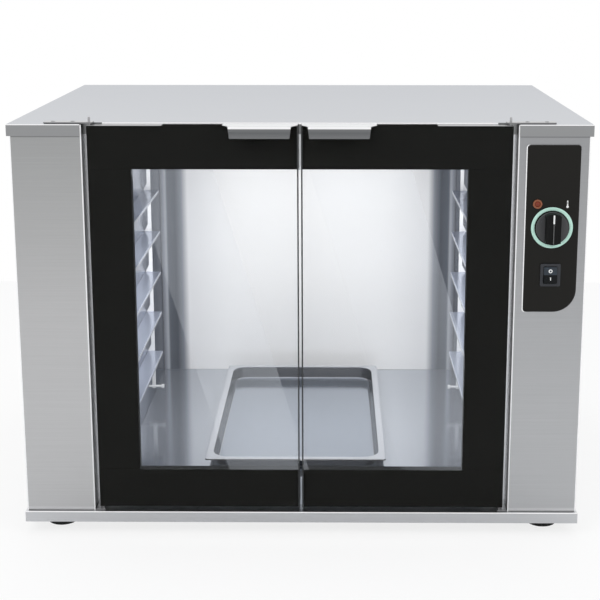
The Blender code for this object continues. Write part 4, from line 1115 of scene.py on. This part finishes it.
def switch_housing():
    """A frame with its body behind the plate and a well in its front."""
    flange = plate_low.y - 0.3 * MM
    low = Vector((switch_low.x, switch_low.y, switch_low.z))
    high = Vector((switch_high.x, flange, switch_high.z))
    housing = round_edges(slab("switch_frame", low, high), along(1), 2.4 * MM, 6)
    edit(housing, "FACE", facing((0, 1, 0)))
    bpy.ops.mesh.inset(thickness=3.2 * MM)
    bpy.ops.mesh.extrude_region_move(TRANSFORM_OT_translate={"value": (0, 20 * MM, 0)})
    leave(housing)
    reach = Vector((ROCKER_HALF_WIDTH + 0.5 * MM, 0, ROCKER_HALF_HEIGHT + WELL_GAP))
    well = slab(
        "well",
        Vector((pivot.x - reach.x, switch_low.y - MM, pivot.z - reach.z)),
        Vector((pivot.x + reach.x, switch_low.y + 10 * MM, pivot.z + reach.z)),
    )
    ease(well, 0.8 * MM, 3)
    combine(housing, well, "DIFFERENCE")
    return ease(housing, 0.35 * MM, 2, 50)


hand_over(switch_housing(), "cabinet", switch_black, "switch_housing")

# %% [markdown]
# The rocker is modelled upright and then leaned about the pivot of its joint, so it rests where the
# joint expects it. Its face has two slopes that meet in a valley, and each sign is turned to lie
# flat on its own slope before both lean with it.

# %% Model the rocker and its signs
ROCKER_END = 6.2 * MM
ROCKER_VALLEY = 4.2 * MM
ROCKER_BACK = 3.0 * MM
ROCKER_LEAN = math.radians(-8.0)
SIGN_OFFSET = 6.6 * MM


def tip(piece, spot, angle):
    """Turns a piece about a spot, on an axis from left to right."""
    choose(piece)
    bpy.context.scene.cursor.location = spot
    bpy.ops.object.origin_set(type="ORIGIN_CURSOR")
    piece.rotation_euler = (angle, 0, 0)
    bpy.ops.object.transform_apply(location=True, rotation=True, scale=True)
    return piece


def rocker():
    """A block whose front is pushed in along its middle, leaned to where it rests."""
    low = pivot + Vector((-ROCKER_HALF_WIDTH, -ROCKER_END, -ROCKER_HALF_HEIGHT))
    high = pivot + Vector((ROCKER_HALF_WIDTH, ROCKER_BACK, ROCKER_HALF_HEIGHT))
    piece = slice_at(slab("rocker_cap", low, high), pivot, (0, 0, 1))
    valley = lambda middle: middle.y < pivot.y - ROCKER_VALLEY and abs(middle.z - pivot.z) < 0.1 * MM
    edit(piece, "EDGE", along(0, valley))
    bpy.ops.transform.translate(value=(0, ROCKER_END - ROCKER_VALLEY, 0))
    leave(piece)
    ease(piece, 0.7 * MM, 3, 20)
    return tip(piece, pivot, ROCKER_LEAN)


def rocker_sign(name, up, shape):
    """The ring or the stroke, on the upper or the lower half of the rocker."""
    z = pivot.z + up * SIGN_OFFSET
    slope = (ROCKER_END - ROCKER_VALLEY) / ROCKER_HALF_HEIGHT
    y = pivot.y - ROCKER_VALLEY - slope * SIGN_OFFSET - 0.06 * MM
    spot = Vector((pivot.x, y, z))
    if shape == "ring":
        sign = barrel(name, spot, 3.3 * MM, 0.16 * MM, sides=40)
        combine(sign, barrel("hole", spot, 1.7 * MM, 2 * MM, sides=40), "DIFFERENCE")
    else:
        sign = stroke(name, spot, 1.5 * MM, 5.2 * MM, y - 0.08 * MM, 0.16 * MM)
    tip(sign, spot, up * math.atan(slope))
    return tip(sign, pivot, ROCKER_LEAN)


cap = hand_over(rocker(), "rocker", rocker_foot, "switch_rocker")
# The rocker's upper half takes the lighter bluish black, a painted highlight, and its lower half the deeper
# black.
cap.data.materials.append(rocker_highlight_half)
for face in cap.data.polygons:
    face.material_index = 1 if face.center.z > pivot.z else 0
hand_over(rocker_sign("rocker_off_sign", 1, "ring"), "rocker", print_white)
hand_over(rocker_sign("rocker_on_sign", -1, "stroke"), "rocker", print_white)
print("switch ready, pivot at", [round(v, 4) for v in pivot])

# %% [markdown]
# ## The hinge plates on the top
# Each plate is a strip with rounded ends and two countersunk screws, and the pin that the door
# turns on stands through it with a rounded tip.

# %% Model the top hinge plates and pins
PLATE_END = 3 * MM
SCREW_RADIUS = 3.4 * MM
PIN_TIP = 0.8 * MM
SCREW_SHARES = (0.42, 0.82)


def screw_head(name, centre, radius, axis="Z"):
    """A low screw head with a cross recess, on a face that looks along an axis."""
    height = radius * 0.32
    head = barrel(name, centre, radius, height, axis, sides=32)
    index = "XYZ".index(axis)
    reach = [radius * 0.55] * 3
    reach[index] = height * 0.6
    top = Vector(centre)
    top[index] += height * 0.5
    for wide in range(3):
        if wide == index:
            continue
        size = Vector(reach)
        size[3 - index - wide] = radius * 0.11
        combine(head, slab("cross", top - size, top + size), "DIFFERENCE")
    return ease(head, radius * 0.08, 2, 40)


def hinge_strip():
    """The left plate, with its upright edges rounded."""
    low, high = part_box("left_top_hinge_plate")
    return ease(round_edges(slab("left_top_hinge_strip", low, high), along(2), PLATE_END, 6), 0.4 * MM, 2)


def hinge_pin():
    """The left pin, with a rounded tip."""
    low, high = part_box("left_top_pin")
    pin = barrel("left_top_pin_turned", (low + high) / 2, (high.x - low.x) / 2, high.z - low.z, "Z", 32)
    return round_edges(pin, level_at(2, high.z), PIN_TIP, 4)


hinge_low, hinge_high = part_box("left_top_hinge_plate")
near, far = [hinge_high.x + share * (hinge_low.x - hinge_high.x) for share in SCREW_SHARES]
head_spot = (near, (hinge_low.y + hinge_high.y) / 2, hinge_high.z + 0.3 * MM)
left_strip, left_pin = hinge_strip(), hinge_pin()
first_head = screw_head("left_top_hinge_screw_0", head_spot, SCREW_RADIUS)
second_head = copied(first_head, "left_top_hinge_screw_1", (far - near, 0, 0))
left_pieces = (
    (left_strip, hinge_steel, "top_hinge_plate"), (left_pin, zinc, "top_pin"),
    (first_head, zinc, None), (second_head, zinc, None),
)
for original, material, part in left_pieces:
    twin = copied(original, original.name.replace("left", "right"), mirror=True)
    for side, piece in (("left", original), ("right", twin)):
        hand_over(piece, "cabinet", material, *([f"{side}_{part}"] if part else []))
print("hinges ready")

# %% [markdown]
# ## The feet
# The rubber feet are turned, with a rounded sole and a groove. Two planes cut a cylinder's side into
# bands, and the band between them is drawn in. One foot is modelled, and the rest are copies.

# %% Model the feet
SHOE_HEIGHT = 22 * MM
GROOVE_LOW, GROOVE_HIGH = 13 * MM, 15 * MM
STEM_RADIUS = 9 * MM
foot_low, foot_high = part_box("foot_front_left")


def foot():
    """The front left foot, with the stem that enters the base."""
    radius = (foot_high.x - foot_low.x) / 2
    x, y, _ = (foot_low + foot_high) / 2
    top = foot_low.z + SHOE_HEIGHT
    shoe = barrel("foot_front_left_rubber", Vector((x, y, (foot_low.z + top) / 2)), radius, SHOE_HEIGHT, "Z")
    round_edges(shoe, level_at(2, foot_low.z), 3 * MM, 5)
    for height in (GROOVE_LOW, GROOVE_HIGH):
        slice_at(shoe, (0, 0, foot_low.z + height), (0, 0, 1))
    groove = lambda face: GROOVE_LOW < face.calc_center_median().z - foot_low.z < GROOVE_HIGH
    edit(shoe, "FACE", groove)
    bpy.ops.mesh.extrude_region_shrink_fatten(TRANSFORM_OT_shrink_fatten={"value": -1.2 * MM})
    leave(shoe)
    middle = Vector((x, y, (top + foot_high.z) / 2 - 0.5 * MM))
    combine(shoe, barrel("stem", middle, STEM_RADIUS, foot_high.z - top + MM, "Z"), "UNION")
    return ease(shoe, 0.3 * MM, 2, 40)


first_foot = foot()
for end in ("front", "back"):
    for side in ("left", "right"):
        name = f"foot_{end}_{side}"
        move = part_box(name)[0] - foot_low
        piece = first_foot if move.length == 0.0 else copied(first_foot, f"{name}_rubber", move)
        hand_over(piece, "cabinet", rubber, name)
print("feet ready")

# %% [markdown]
# ## The water pan
# The pan is pressed from thin sheet. Its flat rim has nearly square corners outside and wide ones
# inside, so the two outlines are made apart, as planes with rounded corners, and bridged. The walls
# and the floor are then drawn down from the inner outline with insets, and the sheet gets its
# thickness last.

# %% Model the water pan
pan_low, pan_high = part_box("water_pan")
PAN_SHEET = 0.8 * MM
PAN_RIM = 11 * MM
PAN_LIP = 2.6 * MM
PAN_EDGE = 0.9 * MM
RIM_CORNER = 4 * MM
WELL_CORNER = 30 * MM
CORNER_STEPS = 10
WALL_SLOPE = 5.0 * MM
TOP_BEND = ((1.0 * MM, 0.3 * MM), (1.2 * MM, 1.6 * MM))
FOOT_BEND = ((1.6 * MM, 2.8 * MM), (3.4 * MM, 1.8 * MM))


def rounded_outline(name, low, high, height, corner):
    """A closed line round a rectangle with rounded corners."""
    bpy.ops.object.select_all(action="DESELECT")
    middle = (low + high) / 2
    bpy.ops.mesh.primitive_plane_add(size=1, location=(middle.x, middle.y, height))
    bpy.context.active_object.scale = (high.x - low.x, high.y - low.y, 1)
    outline = settle(name)
    edit(outline, "VERT")
    bpy.ops.mesh.bevel(offset=corner, segments=CORNER_STEPS, affect="VERTICES")
    bpy.ops.mesh.select_all(action="SELECT")
    bpy.ops.mesh.delete(type="ONLY_FACE")
    return leave(outline)


def water_pan():
    """The whole pan, pressed from one sheet."""
    inward = Vector((PAN_RIM, PAN_RIM, 0))
    rim = rounded_outline("water_pan_pressed", pan_low, pan_high, pan_high.z, RIM_CORNER)
    well = rounded_outline("well", pan_low + inward, pan_high - inward, pan_high.z, WELL_CORNER)
    choose(rim)
    well.select_set(True)
    bpy.ops.object.join()
    edit(rim, "EDGE")
    bpy.ops.mesh.bridge_edge_loops()
    inside = lambda edge: all(
        pan_low.x + PAN_RIM - 0.1 * MM < v.co.x < pan_high.x - PAN_RIM + 0.1 * MM
        and pan_low.y + PAN_RIM - 0.1 * MM < v.co.y < pan_high.y - PAN_RIM + 0.1 * MM for v in edge.verts
    )
    pick(rim, "EDGE", inside)
    bpy.ops.mesh.edge_face_add()
    wall = pan_high.z - pan_low.z - PAN_SHEET - sum(down for _, down in TOP_BEND + FOOT_BEND)
    for across, down in (*TOP_BEND, (WALL_SLOPE, wall), *FOOT_BEND):
        bpy.ops.mesh.inset(thickness=across)
        bpy.ops.transform.translate(value=(0, 0, -down))
    pick(rim, "EDGE", lambda edge: edge.is_boundary)
    bpy.ops.mesh.extrude_region_move(TRANSFORM_OT_translate={"value": (0, 0, -PAN_LIP)})
    at_top = level_at(2, pan_high.z)
    sharp = lambda edge: len(edge.link_faces) == 2 and edge.calc_face_angle() > 1.2
    pick(rim, "EDGE", lambda edge: sharp(edge) and at_top(edge))
    bpy.ops.mesh.bevel(offset=PAN_EDGE, segments=2, affect="EDGES")
    bpy.ops.mesh.select_all(action="SELECT")
    bpy.ops.mesh.normals_make_consistent(inside=False)
    leave(rim)
    level = max(rim.data.polygons, key=lambda face: face.area)
    if level.normal.z < 0:
        edit(rim)
        bpy.ops.mesh.flip_normals()
        leave(rim)
    apply_modifier(rim, "SOLIDIFY", thickness=PAN_SHEET, offset=-1.0)
    return rim


pan = hand_over(water_pan(), "pan", pan_steel, "water_pan", smooth=40, even=True)
# The front faces of the pan's lip take the near-white steel, a painted highlight.
pan.data.materials.append(highlight_steel)
for face in pan.data.polygons:
    on_lip = face.center.z > pan_high.z - PAN_LIP + 0.3 * MM
    face.material_index = 1 if face.normal.y < -0.9 and face.center.y < pan_low.y + 0.1 * MM and on_lip else 0
print("pan", len(pan.data.polygons), "faces")

# %% [markdown]
# ## Rack thumb nuts
# A stud near each upright's foot holds the rack to the wall, and a small round nut on its end
# catches the light in the photograph.

# %% Model the thumb nuts
NUT_RADIUS = 4.2 * MM
NUT_LENGTH = 5 * MM
STUD_HEIGHT = 42 * MM


def nut_spot(side, place):
    """The middle of a nut, on the tip of its stud."""
    low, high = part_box(f"{side}_rack_{place}_upright")
    _, floor_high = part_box("chamber_floor")
    inset = 0.4 * NUT_LENGTH
    x = high.x - inset if side == "left" else low.x + inset
    return Vector((x, (low.y + high.y) / 2, floor_high.z + STUD_HEIGHT))


def thumb_nut(name, spot):
    """A round nut with flutes."""
    nut = barrel(name, spot, NUT_RADIUS, NUT_LENGTH, "X", 18)
    edit(nut, "FACE", lambda face: abs(face.normal.x) < 0.1)
    bpy.ops.mesh.inset(thickness=0.3 * MM, use_individual=True)
    bpy.ops.mesh.extrude_region_shrink_fatten(TRANSFORM_OT_shrink_fatten={"value": -0.3 * MM})
    leave(nut)
    return ease(nut, 0.15 * MM, 1, 40)


first_spot = nut_spot("left", "front")
first_nut = thumb_nut("left_rack_front_nut", first_spot)
for side in ("left", "right"):
    for place in ("front", "rear"):
        move = nut_spot(side, place) - first_spot
        nut = first_nut if move.length == 0.0 else copied(first_nut, f"{side}_rack_{place}_nut", move)
        hand_over(nut, "cabinet", upright_steel)
print("thumb nuts ready")

# %% [markdown]
# ## The back
# The back panel is held by a row of screws along each side, and the supply cable's gland stands
# below the vents. One screw is modelled, with a cross cut into its head, and the rest are copies.

# %% Screws on the back panel
panel_low, panel_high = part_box("back_panel")
SCREW_INSET = 12 * MM
SCREWS_A_SIDE = 4
BACK_SCREW_RADIUS = 3.6 * MM


def back_spot(side, number):
    """The middle of a screw's head on the back panel."""
    share = (number + 0.5) / SCREWS_A_SIDE
    x = panel_low.x + SCREW_INSET if side == "left" else panel_high.x - SCREW_INSET
    return Vector((x, panel_high.y + 0.6 * MM, panel_low.z + share * (panel_high.z - panel_low.z)))


first_spot = back_spot("left", 0)
first_screw = screw_head("left_back_screw_0", first_spot, BACK_SCREW_RADIUS, "Y")
for number in range(SCREWS_A_SIDE):
    for side in ("left", "right"):
        move = back_spot(side, number) - first_spot
        name = f"{side}_back_screw_{number}"
        hand_over(first_screw if move.length == 0.0 else copied(first_screw, name, move), "cabinet", zinc)
print("back screws:", 2 * SCREWS_A_SIDE)

# %% [markdown]
# The gland is two turned forms joined: a six-sided nut and a cap whose rim is rounded. The bore
# goes through both, because the cord would pass there.

# %% Model the cable gland
gland_low, gland_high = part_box("cable_gland")
GLAND_BORE = 5 * MM


def cable_gland():
    """The nut and the cap, bored through."""
    centre = (gland_low + gland_high) / 2
    wall = panel_high.y + 0.3 * MM
    nut = barrel("gland_nut", Vector((centre.x, wall + 3.5 * MM, centre.z)), 12.9 * MM, 7 * MM, sides=6)
    ease(nut, 0.6 * MM, 2)
    cap_length = gland_high.y - wall - 6 * MM
    middle = Vector((centre.x, gland_high.y - cap_length / 2, centre.z))
    cap = barrel("gland_cap", middle, 10 * MM, cap_length)
    round_edges(cap, level_at(1, gland_high.y), 4 * MM, 6)
    combine(nut, cap, "UNION")
    length = 3 * (gland_high.y - gland_low.y)
    combine(nut, barrel("bore", centre, GLAND_BORE, length), "DIFFERENCE")
    return nut


hand_over(cable_gland(), "cabinet", gland_black, "cable_gland")
print("back ready")
